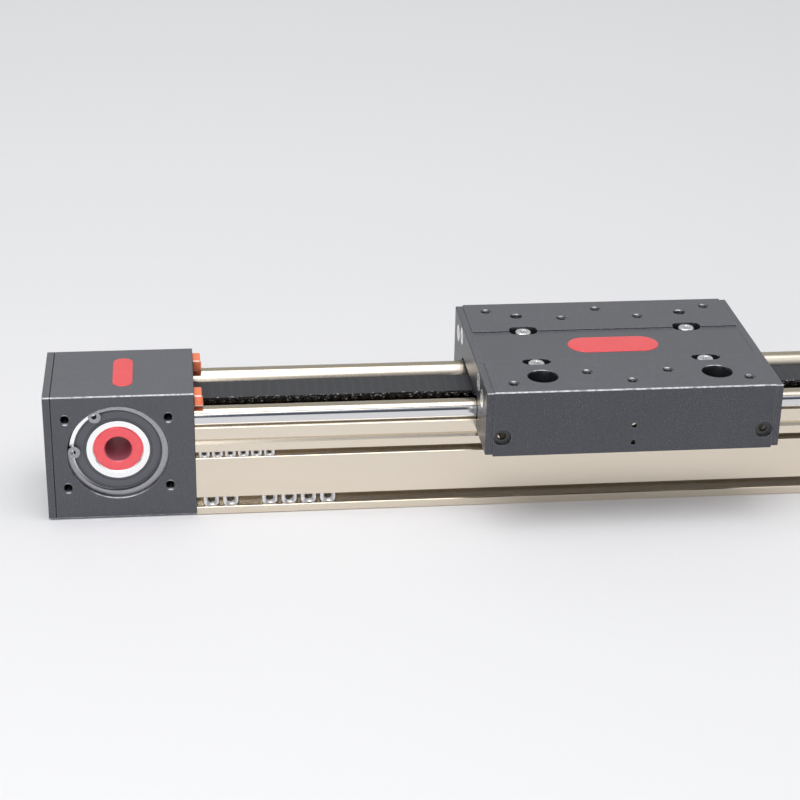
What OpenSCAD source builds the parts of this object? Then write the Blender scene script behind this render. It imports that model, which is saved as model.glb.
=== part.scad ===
// Belt driven linear axis: an extruded rail with two steel guide shafts, a roller
// carriage clamped to a toothed belt, and a bearing housing at each end.
// Millimetres. X runs along the rail from the drive end, Y across it, Z up.
// The origin is at mid length, mid width, on the underside of the rail.

/* [Rail] */
// free length of the rail between the two housings (a multiple of the belt pitch)
rail_len = 465; // [300:5:1500]
// width of the rail and of both end housings
rail_w = 60; // [56:1:70]
// top edge of the rail's outer side faces
side_h = 51; // [50:0.5:52]
// diameter of the guide shafts
shaft_d = 10; // [8:1:12]
// distance of each guide shaft from the centre plane
shaft_y = 24.5; // [24:0.5:26]
// height of the guide shafts' axes
shaft_z = 55; // [54:0.5:56]

/* [Rail slots] */
// opening of the lower T-slots, for M5 nuts
low_slot_w = 5.6; // [5:0.1:6]
// height of the lower T-slots' centre
low_slot_z = 7.5; // [7:0.5:9]
// opening of the upper T-slots, for M3 nuts
up_slot_w = 3.4; // [3:0.1:4]
// height of the upper T-slots' centre
up_slot_z = 35.1; // [33:0.1:37]
// height of the marking groove
groove_z = 42.9; // [42:0.1:44]

/* [End housings] */
// length of a housing block, without its cover
block_len = 73.5; // [70:0.5:80]
// height of a housing
housing_h = 70; // [68:1:74]
// gap under a housing when the rail lies on a table
housing_lift = 0.7; // [0:0.1:2]
// thickness of the end covers
cover_t = 4; // [3:0.5:6]
// distance from the cover's outer face to the pulley axis
axis_inset = 37.5; // [36:0.5:39]
// height of the pulley axis
axis_z = 38.1; // [37:0.1:39]
// spacing of the flange holes along the rail
flange_dx = 53; // [50:1:54]
// spacing of the flange holes up the housing
flange_dz = 39.2; // [38:0.2:41]

/* [Bearings] */
// outer diameter of the pulley bearings
brg_od = 52; // [50:1:53]
// bore of the pulley bearings
brg_id = 25; // [22:1:26]
// width of the pulley bearings
brg_w = 15; // [13:0.5:15.5]
// depth of a bearing's outer face below the housing face
brg_depth = 4.25; // [4:0.25:5]

/* [Belt drive] */
// belt pitch
pitch = 5; // [5]
// teeth on each pulley
teeth = 25; // [24:1:26]
// belt width
belt_w = 20; // [15:1:20]
// bore through the hollow drive hub, for the motor shaft
hub_bore = 14; // [10:1:16]

/* [Carriage] */
// carriage length without its end plates
car_len = 147; // [140:1:160]
// carriage width
car_w = 120; // [112:1:124]
// carriage height from skirt to top
car_h = 36; // [35:1:38]
// height of the carriage top above the table
car_top = 79.8; // [79:0.1:81]
// thickness of the carriage's end plates
plate_t = 4; // [3:0.5:5]
// place of the carriage along the rail, from mid length
car_x = -7; // [-150:1:150]
// thickness of the carriage's skirts
skirt_t = 3.8; // [3:0.1:5]
// distance of each track roller from the end of the carriage block
roller_inset = 27.3; // [25:0.1:30]
// distance of each track roller from the centre plane
roller_y = 41; // [40:0.5:42]
// outer diameter of the track rollers
roller_d = 25; // [24:0.5:26]

/* [Hidden] */
$fn = 64;

// positions
housing_x = rail_len / 2;                    // inner faces of the housings
axis_x = housing_x + block_len + cover_t - axis_inset; // pulley axes
housing_top = housing_lift + housing_h;
housing_mid = (2 * housing_lift + housing_h) / 2;
brg_y = rail_w / 2 - brg_depth;              // outer faces of the bearings
land_d = brg_od - 5;                         // bore left between the bearings
land_y = brg_y - brg_w;                      // inner faces of the bearings
ring_t = 2;                                  // circlip
groove_d = brg_od + 3;                       // circlip groove
skin = 0.6;                                  // edge chamfers
edge = 0.3;                                  // small chamfers on slots, seams and plates
overlap = 1;                                 // how far a cut runs past its face

// belt: the pitch line rides pld outside the pulley, the back is back_t thick
pitch_r = pitch * teeth / (2 * PI);
pld = 0.57;
back_t = 1.74;
tooth_r = 1.5;                               // round teeth, 2 mm high
tooth_sink = 0.5;                            // their centres, below the root line
root_r = pitch_r - pld;
tooth_mid = root_r - tooth_sink;
tooth_gap = 0.18;                            // play of a tooth in a pulley groove
jaw_gap = 0.05;                              // play of a tooth in a clamp jaw
back_r = root_r + back_t;
belt_back_z = axis_z + back_r;
belt_root_z = axis_z + root_r;

// carriage
skirt_z = car_top - car_h;
ceiling_z = 62.6;                            // underside of the carriage top
skirt_y = car_w / 2 - skirt_t;               // inner faces of the skirts
recess_y = 20.2;                             // shallow recess along the top
recess_h = 0.8;
roller_x = car_len / 2 - roller_inset;       // track rollers, from the carriage middle
clamp_inset = 28;                            // belt clamps, from the end of the block
clamp_x = car_len / 2 - clamp_inset;
clamp_y = 21.3;
clamp_len = 30;
clamp_roof = 68;
clamp_seat = 73.2;                           // floor of the clamp screws' slots
slot_l = 15.7;
slot_w = 9.2;
m5 = [5, 8.5, 5, 4];                         // cap screw: shank, head, head height, key
m5_nut = [5, 8, 4];                          // nut: thread, across flats, height
m3_nut = [3, 5.5, 2.4];
m6_nut = [6, 10, 4];
stud_d = m6_nut[0];
ecc = 0.6;                                   // throw of the eccentric bushes
roller_w = 7;
plate_gap = 0.6;                             // end plates stand back from the block
wiper_l = 4;                                 // wipers, at the ends of the block
felt_l = 4.8;                                // felts, behind the wipers
felt_gap = 0.2;

BLACK = "#4a4a50";
CHAMPAGNE = "#d8cdb8";
STEEL = "#c9c9cc";
DARK = "#2b2b2e";
RED = "#f0565c";
ORANGE = "#ff7d55";
FELT = "#a08c64";

// ---------- shared shapes ----------

// cylinder along X from x0 over length l
module xcyl(x0, l, r, fn = 64) translate([x0, 0, 0]) rotate([0, 90, 0]) cylinder(h = l, r = r, $fn = fn);

// cylinder along Y from y0 over length l
module ycyl(y0, l, r, fn = 64) translate([0, y0, 0]) rotate([-90, 0, 0]) cylinder(h = l, r = r, $fn = fn);

// outline of a belt tooth
module tooth(r) circle(r, $fn = 24);

// tapped hole of core diameter d from z = 0 down, with the chamfer at its mouth
module tapped(d, deep) {
  translate([0, 0, -deep]) cylinder(h = deep + overlap, d = d, $fn = 32);
  translate([0, 0, -mouth_h]) cylinder(h = 2 * mouth_h, r1 = d / 2, r2 = d / 2 + 2 * mouth_w, $fn = 32);
}

// outline in Y and Z pushed along X from x0 over length l
module along_x(x0, l) translate([x0, 0, 0]) rotate([90, 0, 90]) linear_extrude(l) children();

// outline in X and Z pushed along Y, centred on the middle plane
module along_y(w) translate([0, w / 2, 0]) rotate([90, 0, 0]) linear_extrude(w) children();

// box between two corners
module span(a, b) translate(a) cube(b - a);

// mirror images on both sides of the centre plane
module both_sides() {
  children();
  mirror([0, 1, 0]) children();
}

// rectangle with chamfered corners, in Y and Z
function chamfered(w, z0, z1, c) = [
  [-w / 2 + c, z0], [w / 2 - c, z0], [w / 2, z0 + c], [w / 2, z1 - c],
  [w / 2 - c, z1], [-w / 2 + c, z1], [-w / 2, z1 - c], [-w / 2, z0 + c]];

// V cut with sides of c round a block of width w between two heights, at x: breaks its end's edges
module broken_end(x, w, z0, z1, c = edge) {
  s = c * sqrt(2);
  for (z = [z0, z1]) translate([x, 0, z]) rotate([0, 45, 0]) cube([s, w + 2, s], center = true);
  for (y = [-w / 2, w / 2]) translate([x, y, (z0 + z1) / 2]) rotate(45)
    cube([s, s, z1 - z0 + 2], center = true);
}

// slot with round ends, cut along Z
module long_hole(l, w, z0, z1) {
  for (s = [-1, 1]) translate([s * (l - w) / 2, 0, z0]) cylinder(h = z1 - z0, d = w, $fn = 48);
  span([-(l - w) / 2, -w / 2, z0], [(l - w) / 2, w / 2, z1]);
}

// countersunk screw along Z: flush head top at z = 0, shank down
module countersunk(d, head, l) {
  rotate_extrude($fn = 32) polygon([
    [0, -1.5], [d * 0.3, -0.9], [d * 0.3, 0], [head / 2, 0], [d / 2, -(head - d) / 2], [d / 2, -l], [0, -l]]);
}

// cap screw of a size along Z: head seat at z = 0, shank l down, hexagon socket in the head
module cap_screw(size, l) {
  difference() {
    union() {
      cylinder(h = size[2], d = size[1], $fn = 48);
      translate([0, 0, -l]) cylinder(h = l, d = size[0], $fn = 48);
    }
    translate([0, 0, size[2] * 0.45]) hexagon(size[3], size[2]);
  }
}

// hexagon across flats af, height h
module hexagon(af, h) cylinder(h = h, d = af / cos(30), $fn = 6);

// nut of a size along Z, standing on z = 0
module hex_nut(size) {
  difference() {
    hexagon(size[1], size[2]);
    translate([0, 0, -overlap]) cylinder(h = size[2] + 2 * overlap, d = size[0], $fn = 32);
  }
}

// ---------- rail ----------

// T-slot outline on the right side of the rail: opening w, pocket p high and deep, under a lip
// with broken edges
function side_slot(zc, w, lip, p, deep) = let (y = rail_w / 2, c = edge) [
  [y, zc - w / 2 - c], [y - c, zc - w / 2], [y - lip, zc - w / 2], [y - lip, zc - p / 2],
  [y - lip - deep, zc - p / 2], [y - lip - deep, zc + p / 2], [y - lip, zc + p / 2],
  [y - lip, zc + w / 2], [y - c, zc + w / 2], [y, zc + w / 2 + c]];

function mirrored(p) = [for (i = [len(p) - 1 : -1 : 0]) [-p[i][0], p[i][1]]];

low_lip = 1.8;      // lips of the T-slots
up_lip = 1.2;
seat_y = 17;        // inner edge of the shaft seats' inner lips
seat_z = 54.5;
channel_z = 44;     // floor of the channel under the belt
port_low = [15, 6.5];
port_mid = [8, axis_z];
port_r = 2.5;

rail_half = concat(
  [[3.1, 0], [rail_w / 2 - skin, 0], [rail_w / 2, skin]],
  side_slot(low_slot_z, low_slot_w, low_lip, m5_nut[1] + 0.3, m5_nut[2] + 1),
  side_slot(up_slot_z, up_slot_w, up_lip, m3_nut[1] + 0.2, m3_nut[2] + 0.8),
  [[rail_w / 2, groove_z - 1.5], [rail_w / 2 - 1, groove_z], [rail_w / 2, groove_z + 1.5],
   [rail_w / 2, side_h - edge], [rail_w / 2 - edge, side_h], [shaft_y, side_h], [shaft_y, seat_z], [seat_y, seat_z], [seat_y, channel_z]]);

module rail_extrusion() {
  bottom_slot = [[-3.1, 2], [-4.6, 2], [-4.6, 6.8], [4.6, 6.8], [4.6, 2], [3.1, 2]];
  color(CHAMPAGNE) difference() {
    along_x(-housing_x, rail_len) polygon(concat(bottom_slot, rail_half, mirrored(rail_half)));
    // chambers: belt return, web pockets, side walls
    span([-housing_x - 1, -20.5, 10.5], [housing_x + 1, 20.5, 33.6]);
    both_sides() {
      span([-housing_x - 1, 13.8, 36], [housing_x + 1, 20.5, 40.2]);
      span([-housing_x - 1, 22.9, 14], [housing_x + 1, 27.4, 30]);
      span([-housing_x - 1, 22.9, 40], [housing_x + 1, 27.4, 46.5]);
      translate([0, shaft_y, shaft_z]) xcyl(-housing_x - 1, rail_len + 2, shaft_d / 2);
      for (p = [port_low, port_mid])
        translate([0, p[0], p[1]]) xcyl(-housing_x - 1, rail_len + 2, port_r, 32);
    }
  }
}

module guide_shaft(side)
  color(STEEL) translate([0, side * shaft_y, shaft_z]) xcyl(-housing_x, rail_len, shaft_d / 2);

module guide_shaft_front() guide_shaft(-1);
module guide_shaft_rear() guide_shaft(1);

// nuts pushed into a front slot at the drive end: place of the first, step, and which are there
module slot_nuts(size, x0, step, at, z, lip)
  color(STEEL) for (i = at)
    translate([-housing_x + x0 + i * step, -rail_w / 2 + lip, z]) rotate([-90, 0, 0]) hex_nut(size);

module upper_slot_nuts() slot_nuts(m3_nut, 4.6, 6.8, [0 : 5], up_slot_z, up_lip);
module lower_slot_nuts() slot_nuts(m5_nut, 7.6, 10.3, [0, 1, 3, 4, 5, 6], low_slot_z, low_lip);

// ---------- end housings, drawn at the drive end ----------

cover_screw = [24, 10, 65];        // y, lower z, upper z
m6_core = 5;                       // tapped M6 holes, and the chamfer at their mouths
mouth_h = 0.45;
mouth_w = 0.6;
screw_clear = m5[0] + 0.5;         // holes for the housing screws
head_clear = m5[1] + 0.9;
screw_sink = 6.5;                  // head seats of the long screws, below the block's end
inner_seat = 8.4;                  // head seats of the short screws, from the rail's end
screw_grip = 14;                   // thread in the rail

// the idler end is the drive end turned about Z
module at_idler() rotate([0, 0, 180]) children();
module at_axis() translate([-axis_x, 0, axis_z]) children();

module housing() {
  x0 = -housing_x - block_len;
  color(BLACK) difference() {
    along_x(x0, block_len) polygon(chamfered(rail_w, housing_lift, housing_top, skin));
    for (x = [x0, -housing_x]) broken_end(x, rail_w, housing_lift, housing_top);
    at_axis() {
      ycyl(-rail_w, 2 * rail_w, land_d / 2, 96);
      both_sides() {
        ycyl(land_y, brg_w + brg_depth + overlap, brg_od / 2, 96);
        ycyl(brg_y - 0.05, ring_t + 0.15, groove_d / 2, 96);
        translate([0, rail_w / 2, 0]) rotate([-90, 0, 0]) translate([0, 0, -0.4])
          cylinder(h = 1, r1 = brg_od / 2, r2 = brg_od / 2 + 1, $fn = 96);
        for (sx = [-1, 1], sz = [-1, 1]) translate([sx * flange_dx / 2, 0, sz * flange_dz / 2]) {
          translate([0, rail_w / 2, 0]) rotate([-90, 0, 0]) tapped(m6_core, 12);
        }
      }
    }
    // windows for the belt: towards the rail above and below, and behind the cover
    for (z = [belt_root_z - 3, axis_z - back_r - 2.4])
      span([-axis_x, -belt_w / 2 - 1, z], [-housing_x + 1, belt_w / 2 + 1, z + 6.8]);
    span([x0 - 1, -belt_w / 2 - 0.6, axis_z - 17], [-axis_x, belt_w / 2 + 0.6, axis_z + 17]);
    both_sides() {
      // long screws under the bearings, short ones from inside the pulley bore
      translate([0, port_low[0], port_low[1]]) {
        xcyl(x0 - 1, block_len + 2, screw_clear / 2, 32);
        xcyl(x0 - 1, screw_sink + 1, head_clear / 2, 32);
      }
      translate([0, port_mid[0], port_mid[1]]) {
        xcyl(-axis_x, axis_x - housing_x + 5, screw_clear / 2, 32);
        xcyl(-axis_x, axis_x - housing_x - inner_seat, head_clear / 2, 32);
      }
      for (z = [cover_screw[1], cover_screw[2]])
        translate([0, cover_screw[0], z]) xcyl(x0 - 1, 11, 2, 32);
      translate([-housing_x, bumper_y, bumper_z + bumper_h / 2]) xcyl(-6, 8, 2, 32);
    }
  }
}

module end_cover() {
  x0 = -housing_x - block_len - cover_t;
  color(BLACK) difference() {
    along_x(x0, cover_t) polygon(chamfered(rail_w, housing_lift, housing_top, skin));
    for (x = [x0, x0 + cover_t]) broken_end(x, rail_w, housing_lift, housing_top);
    both_sides() for (z = [cover_screw[1], cover_screw[2]])
      translate([x0, cover_screw[0], z]) rotate([0, 90, 0]) {
        translate([0, 0, -1]) cylinder(h = cover_t + 2, d = 4, $fn = 32);
        translate([0, 0, -0.01]) cylinder(h = 2.01, d1 = 8.02, d2 = 4, $fn = 32);
      }
  }
}

module cover_screws()
  color(DARK) both_sides() for (z = [cover_screw[1], cover_screw[2]])
    translate([-housing_x - block_len - cover_t, cover_screw[0], z]) rotate([0, -90, 0])
      countersunk(4, 8, 13);

module housing_screws()
  color(DARK) both_sides() {
    translate([-housing_x - block_len + screw_sink, port_low[0], port_low[1]]) rotate([0, -90, 0])
      cap_screw(m5, block_len - screw_sink + screw_grip);
    translate([-housing_x - inner_seat, port_mid[0], port_mid[1]]) rotate([0, -90, 0])
      cap_screw(m5, inner_seat + screw_grip);
  }

ball_d = 7.94;
ball_r = (brg_od + brg_id) / 4;
inner_land = brg_id / 2 + 3.9;     // outer radius of the inner rings
outer_land = brg_od / 2 - 4.1;     // inner radius of the outer rings
seal_t = 1.2;
seal_in = inner_land + 0.1;
seal_out = brg_od / 2 - 2.85;
ring_edge = 0.8;                   // chamfer of the rings

// ring with the section given in radius and Y, at a bearing's place
module brg_rings(section) at_axis() both_sides() rotate([-90, 0, 0]) rotate_extrude($fn = 96) polygon(section);

// torus cut in both races of the bearings
module races() at_axis() both_sides() translate([0, brg_y - brg_w / 2, 0]) rotate([-90, 0, 0])
  rotate_extrude($fn = 96) translate([ball_r, 0]) circle(d = ball_d + 0.04, $fn = 32);

module bearing_outer_rings() {
  lip = 1.7;
  color(STEEL) difference() {
    brg_rings([
      [brg_od / 2 - ring_edge, land_y], [brg_od / 2, land_y + ring_edge],
      [brg_od / 2, brg_y - ring_edge], [brg_od / 2 - ring_edge, brg_y],
      [seal_out, brg_y], [seal_out, brg_y - lip], [outer_land, brg_y - lip],
      [outer_land, land_y + lip], [seal_out, land_y + lip], [seal_out, land_y]]);
    races();
  }
}

module bearing_inner_rings() {
  color(STEEL) difference() {
    brg_rings([
      [brg_id / 2, land_y + ring_edge], [brg_id / 2 + ring_edge, land_y], [inner_land, land_y],
      [inner_land, brg_y], [brg_id / 2 + ring_edge, brg_y], [brg_id / 2, brg_y - ring_edge]]);
    races();
  }
}

module bearing_balls()
  color(STEEL) at_axis() both_sides() for (i = [0 : 8])
    rotate([0, i * 40, 0]) translate([ball_r, brg_y - brg_w / 2, 0]) sphere(d = ball_d, $fn = 24);

module bearing_seals() {
  color(DARK) {
    brg_rings([[seal_in, brg_y - 0.4 - seal_t], [seal_out, brg_y - 0.4 - seal_t],
               [seal_out, brg_y - 0.4], [seal_in, brg_y - 0.4]]);
    brg_rings([[seal_in, land_y + 0.4], [seal_out, land_y + 0.4],
               [seal_out, land_y + 0.4 + seal_t], [seal_in, land_y + 0.4 + seal_t]]);
  }
}

// internal circlip with two pierced ears, widest opposite its gap
module circlips() {
  mid = 150;                    // direction of the gap, and half the angle between the ears
  gap = 30;
  bore_r = groove_d / 2 - 4.1;
  bore_shift = 0.6;
  ear_r = groove_d / 2 - 4.3;
  color(DARK) at_axis() for (y = [-brg_y, brg_y + ring_t])
    translate([0, y, 0]) rotate([90, 0, 0]) difference() {
      union() {
        difference() {
          cylinder(h = ring_t, d = groove_d - 0.1, $fn = 96);
          rotate(mid) translate([bore_shift, 0, -1]) cylinder(h = ring_t + 2, r = bore_r, $fn = 96);
          translate([0, 0, -1]) linear_extrude(ring_t + 2) polygon([
            [0, 0], for (a = [mid - gap, mid, mid + gap]) groove_d * [cos(a), sin(a)]]);
        }
        for (a = [mid - gap, mid + gap]) rotate(a) translate([ear_r - 0.4, 0, 0])
          cylinder(h = ring_t, r = 3.3, $fn = 32);
      }
      for (a = [mid - gap, mid + gap]) rotate(a) translate([ear_r, 0, -1])
        cylinder(h = ring_t + 2, d = 2.8, $fn = 32);
    }
}

// rubber stops above the shafts
bumper_y = 22.5;
bumper_w = 11.4;
bumper_h = 5.6;
bumper_z = 63.1;
bumper_t = 4.7;

module bumpers()
  color(ORANGE) both_sides() translate([-housing_x, bumper_y, bumper_z]) {
    translate([0, bumper_w / 2, 0]) rotate([90, 0, 0]) linear_extrude(bumper_w)
      polygon([[0, 0], [bumper_t, 0], [bumper_t, 0.8], [bumper_t - 0.7, 1.2], [bumper_t - 0.8, bumper_h], [0, bumper_h]]);
    translate([0, 0, bumper_h / 2]) xcyl(-5, 6, 2, 32);
  }

module drive_badge()
  color(RED) translate([-housing_x - block_len / 2, 0, 0]) rotate([0, 0, 90])
    long_hole(36, 10.4, housing_top, housing_top + 0.4);

// ---------- pulleys and belt ----------

module pulley(hub_r) {
  hub_y = brg_y - 0.4;
  face_y = belt_w / 2 + 0.1;
  at_axis() difference() {
    union() {
      ycyl(-face_y, 2 * face_y, root_r - 0.05, 96);
      ycyl(-land_y, 2 * land_y, inner_land - 0.1, 96);
      rotate([-90, 0, 0]) rotate_extrude($fn = 96) polygon([
        [0, -hub_y], [brg_id / 2 - 0.5, -hub_y], [brg_id / 2, -hub_y + 0.5],
        [brg_id / 2, hub_y - 0.5], [brg_id / 2 - 0.5, hub_y], [0, hub_y]]);
    }
    ycyl(-hub_y - 1, 2 * hub_y + 2, hub_r, 64);
    both_sides() translate([0, hub_y, 0]) rotate([-90, 0, 0]) translate([0, 0, -0.5])
      cylinder(h = 1, r1 = hub_r, r2 = hub_r + 1, $fn = 64);
    for (i = [0 : teeth - 1]) rotate([0, i * 360 / teeth, 0])
      translate([0, 0, tooth_mid]) ycyl(-face_y - 0.01, 2 * face_y + 0.02, tooth_r + tooth_gap, 32);
  }
}

module drive_pulley() color(RED) pulley(hub_bore / 2);
module idler_pulley() color(RED) at_idler() pulley(hub_bore / 2);

// outline of the belt's loop at distance r from the pulley axes, in X and Z
module loop_outline(r) {
  for (s = [-1, 1]) translate([s * axis_x, 0]) circle(r, $fn = 96);
  square([2 * axis_x, 2 * r], center = true);
}

// endless belt: a flat back, and a round tooth every pitch along both runs and round the pulleys
module timing_belt()
  color(DARK) translate([0, 0, axis_z]) along_y(belt_w) {
    difference() {
      loop_outline(back_r);
      loop_outline(root_r);
    }
    for (i = [0 : round(2 * axis_x / pitch)]) translate([-axis_x + i * pitch, tooth_mid]) tooth(tooth_r);
    for (i = [1 : round(2 * axis_x / pitch)])
      translate([-axis_x + (i - 0.5) * pitch, -tooth_mid]) tooth(tooth_r);
    for (s = [-1, 1], k = [1 : floor(teeth / 2)])
      translate([s * axis_x, 0]) rotate(-s * k * 360 / teeth) translate([0, tooth_mid]) tooth(tooth_r);
  }

// ---------- carriage ----------

top_x = [car_len / 2 - 11.5, 21.5]; // hole columns: outer rows, inner rows
top_y = [car_w / 2 - 11, 37];
plate_screws = [[44, 69.5], [31, 73]];
port_z = 54.4;
port_x = car_len / 2 - 4.7;
bush_z = 65.7;                     // collars of the eccentric bushes, and the bushes' tops
bush_top = bush_z + 3.6;

module at_rollers(side) for (s = [-1, 1]) translate([car_x + s * roller_x, side * roller_y, 0]) children();

module top_hole(x, y) translate([x, y, car_top]) tapped(m6_core, 10);

module carriage_block() {
  h = car_len / 2;
  c = skin;
  color(BLACK) difference() {
    translate([car_x, 0, 0]) difference() {
      along_x(-h, car_len) polygon([
        [-skirt_y, skirt_z], [-skirt_y, ceiling_z], [skirt_y, ceiling_z], [skirt_y, skirt_z],
        [car_w / 2, skirt_z], [car_w / 2, car_top - c], [car_w / 2 - c, car_top], [recess_y, car_top],
        [recess_y, car_top - recess_h], [-recess_y, car_top - recess_h], [-recess_y, car_top],
        [-car_w / 2 + c, car_top], [-car_w / 2, car_top - c], [-car_w / 2, skirt_z]]);
      both_sides() {
        for (x = [-top_x[0], 0, top_x[0]]) top_hole(x, top_y[0]);
        for (x = [-top_x[1], top_x[1]]) top_hole(x, top_y[1]);
        // lubrication ports near the ends of the skirts
        for (s = [-1, 1]) translate([s * port_x, 0, port_z]) {
          ycyl(skirt_y - 1, 10, 2.15, 32);
          ycyl(car_w / 2 - 2, 3, 4.7, 48);
        }
        // belt clamps: pockets in the ceiling, counterbored slots in the top
        for (s = [-1, 1]) translate([s * clamp_x, clamp_y, 0]) {
          long_hole(slot_l, slot_w, clamp_seat, car_top + 1);
          long_hole(slot_l - 3.4, 5.8, clamp_roof - 1, 74);
        }
        for (s = [-1, 1], p = plate_screws) translate([0, p[0], p[1]])
          xcyl(s > 0 ? h - 8.5 : -h - 1, 9.5, 2.5, 32);
      }
      for (s = [-1, 1]) translate([s * clamp_x, 0, 0])
        span([-clamp_len / 2 - 4, -clamp_w / 2 - 0.8, ceiling_z - 1],
             [clamp_len / 2 + 4, clamp_w / 2 + 0.8, clamp_roof]);
      // switch cam holes in the front skirt
      for (z = [5.4, 15.2]) translate([0, 0, skirt_z + z]) ycyl(-car_w / 2 - 1, 8, 1.5, 32);
    }
    // rear studs screw into the block, front ones sit in eccentric bushes
    at_rollers(1) {
      translate([0, 0, ceiling_z - 1]) cylinder(h = 30, d = stud_d, $fn = 48);
      translate([0, 0, car_top - 0.5]) cylinder(h = 1, d1 = stud_d, d2 = stud_d + 2, $fn = 48);
    }
    at_rollers(-1) translate([ecc, 0, 0]) {
      translate([0, 0, ceiling_z - 1]) cylinder(h = 30, d = 12, $fn = 64);
      translate([0, 0, bush_z]) cylinder(h = 20, d = 15.8, $fn = 64);
      translate([0, 0, car_top - 0.3]) cylinder(h = 0.6, d1 = 15.8, d2 = 17, $fn = 64);
    }
  }
}

// end plate on the s side, cut out around the rail
module end_plate(s) {
  w = car_w - 2 * plate_gap;
  z0 = skirt_z + 0.8;
  z1 = car_top - plate_gap;
  cut = rail_w / 2 + 0.8;
  c = 0.4;
  x0 = car_x + (s > 0 ? car_len / 2 : -car_len / 2 - plate_t);
  color(BLACK) difference() {
    along_x(x0, plate_t) polygon([
      [-cut, z0], [-cut, ceiling_z - 3], [-cut + 3, ceiling_z], [cut - 3, ceiling_z], [cut, ceiling_z - 3],
      [cut, z0], [w / 2, z0], [w / 2, z1 - c], [w / 2 - c, z1], [-w / 2 + c, z1], [-w / 2, z1 - c], [-w / 2, z0]]);
    broken_end(x0 + (s > 0 ? plate_t : 0), w, z0, z1);
    both_sides() for (p = plate_screws) translate([0, p[0], p[1]]) xcyl(x0 - 1, plate_t + 2, 2.5, 32);
  }
}

module end_plate_drive_side() end_plate(-1);
module end_plate_idler_side() end_plate(1);

// button head screws through the end plates
module end_plate_screws()
  color(STEEL) for (s = [-1, 1]) both_sides() for (p = plate_screws)
    translate([car_x + s * (car_len / 2 + plate_t), p[0], p[1]]) rotate([0, s * 90, 0]) difference() {
      rotate_extrude($fn = 32) polygon([
        [0, -12], [2.5, -12], [2.5, 0], [4.75, 0], [4.55, 1.1], [3.9, 2.1], [2.9, 2.7], [0, 2.75]]);
      translate([0, 0, 1.2]) hexagon(3, 3);
    }

clamp_w = 54;
wing_z = 60.8;                     // underside of the clamps' wings
seat_gap = 0.02;                   // between the belt and what clamps it

// clamp body over the belt's back, on the s side
module belt_clamp(s) translate([car_x + s * clamp_x, 0, 0]) {
  l = clamp_len / 2;
  color(STEEL) difference() {
    along_x(-l, clamp_len) polygon([
      [-clamp_w / 2, wing_z], [-jaw_w / 2, wing_z], [-jaw_w / 2, belt_back_z + seat_gap],
      [jaw_w / 2, belt_back_z + seat_gap], [jaw_w / 2, wing_z], [clamp_w / 2, wing_z],
      [clamp_w / 2, clamp_roof], [-clamp_w / 2, clamp_roof]]);
    both_sides() {
      translate([0, clamp_y, wing_z - 1]) cylinder(h = 10, d = m5[0], $fn = 32);
      for (x = jaw_screw_x) translate([x, jaw_screw_y, 58]) cylinder(h = 8, d = 3, $fn = 24);
    }
  }
}

module belt_clamp_drive_side() belt_clamp(-1);
module belt_clamp_idler_side() belt_clamp(1);

module belt_clamp_screws()
  color(STEEL) for (s = [-1, 1]) both_sides() translate([car_x + s * clamp_x, clamp_y, clamp_seat])
    cap_screw(m5, clamp_seat - ceiling_z + 1.4);

jaw_z = 52.7;
jaw_len = 24;
jaw_w = 29;
jaw_screw_x = [-7, 7];
jaw_screw_y = jaw_w / 2 - 2.2;

// toothed jaw under the belt, on the s side, cut to the belt's teeth
module tooth_plate(s) {
  xc = car_x + s * clamp_x;
  first = floor((xc - jaw_len / 2 + axis_x) / pitch);
  last = ceil((xc + jaw_len / 2 + axis_x) / pitch);
  color(STEEL) difference() {
    translate([xc, 0, 0])
      span([-jaw_len / 2, -jaw_w / 2, jaw_z], [jaw_len / 2, jaw_w / 2, belt_root_z - seat_gap]);
    for (i = [first : last])
      translate([-axis_x + i * pitch, 0, belt_root_z - tooth_sink])
        ycyl(-belt_w / 2 - 0.3, belt_w + 0.6, tooth_r + jaw_gap, 24);
    translate([xc, 0, 0]) both_sides() for (x = jaw_screw_x) translate([x, jaw_screw_y, jaw_z]) {
      translate([0, 0, -1]) cylinder(h = 8, d = 3, $fn = 24);
      translate([0, 0, -0.01]) cylinder(h = 1.26, d1 = 5.52, d2 = 3, $fn = 24);
    }
  }
}

module tooth_plate_drive_side() tooth_plate(-1);
module tooth_plate_idler_side() tooth_plate(1);

module tooth_plate_screws()
  color(DARK) for (s = [-1, 1]) translate([car_x + s * clamp_x, 0, jaw_z]) both_sides()
    for (x = jaw_screw_x) translate([x, jaw_screw_y, 0]) mirror([0, 0, 1]) countersunk(3, 5.5, 11);

// ---------- track rollers ----------

roller_top = shaft_z + roller_w / 2;
roller_low = shaft_z - roller_w / 2;
inner_r = 6.5;
bore_r = 4;

// shouldered stud: foot below the roller, pin, spacer, thread
module roller_stud(top) rotate_extrude($fn = 48) polygon([
  [0, roller_low - 1.6], [5.6, roller_low - 1.6], [5.6, roller_low], [bore_r, roller_low],
  [bore_r, roller_top], [5.6, roller_top], [5.6, ceiling_z], [stud_d / 2, ceiling_z], [stud_d / 2, top], [0, top]]);

module roller_studs()
  color(STEEL) {
    at_rollers(1) difference() {
      roller_stud(car_top - 2.5);
      translate([0, 0, car_top - 5]) hexagon(3, 5);
    }
    at_rollers(-1) roller_stud(bush_top + m6_nut[2] + 0.9);
  }

module eccentric_bushes()
  color(DARK) at_rollers(-1) difference() {
    translate([ecc, 0, 0]) {
      translate([0, 0, ceiling_z]) cylinder(h = bush_top - ceiling_z, d = 12, $fn = 64);
      translate([0, 0, bush_z]) cylinder(h = 2.5, d = 15, $fn = 6);
    }
    translate([0, 0, ceiling_z - 1]) cylinder(h = 20, d = stud_d, $fn = 48);
  }

module roller_nuts() color(DARK) at_rollers(-1) translate([0, 0, bush_top]) hex_nut(m6_nut);

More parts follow.
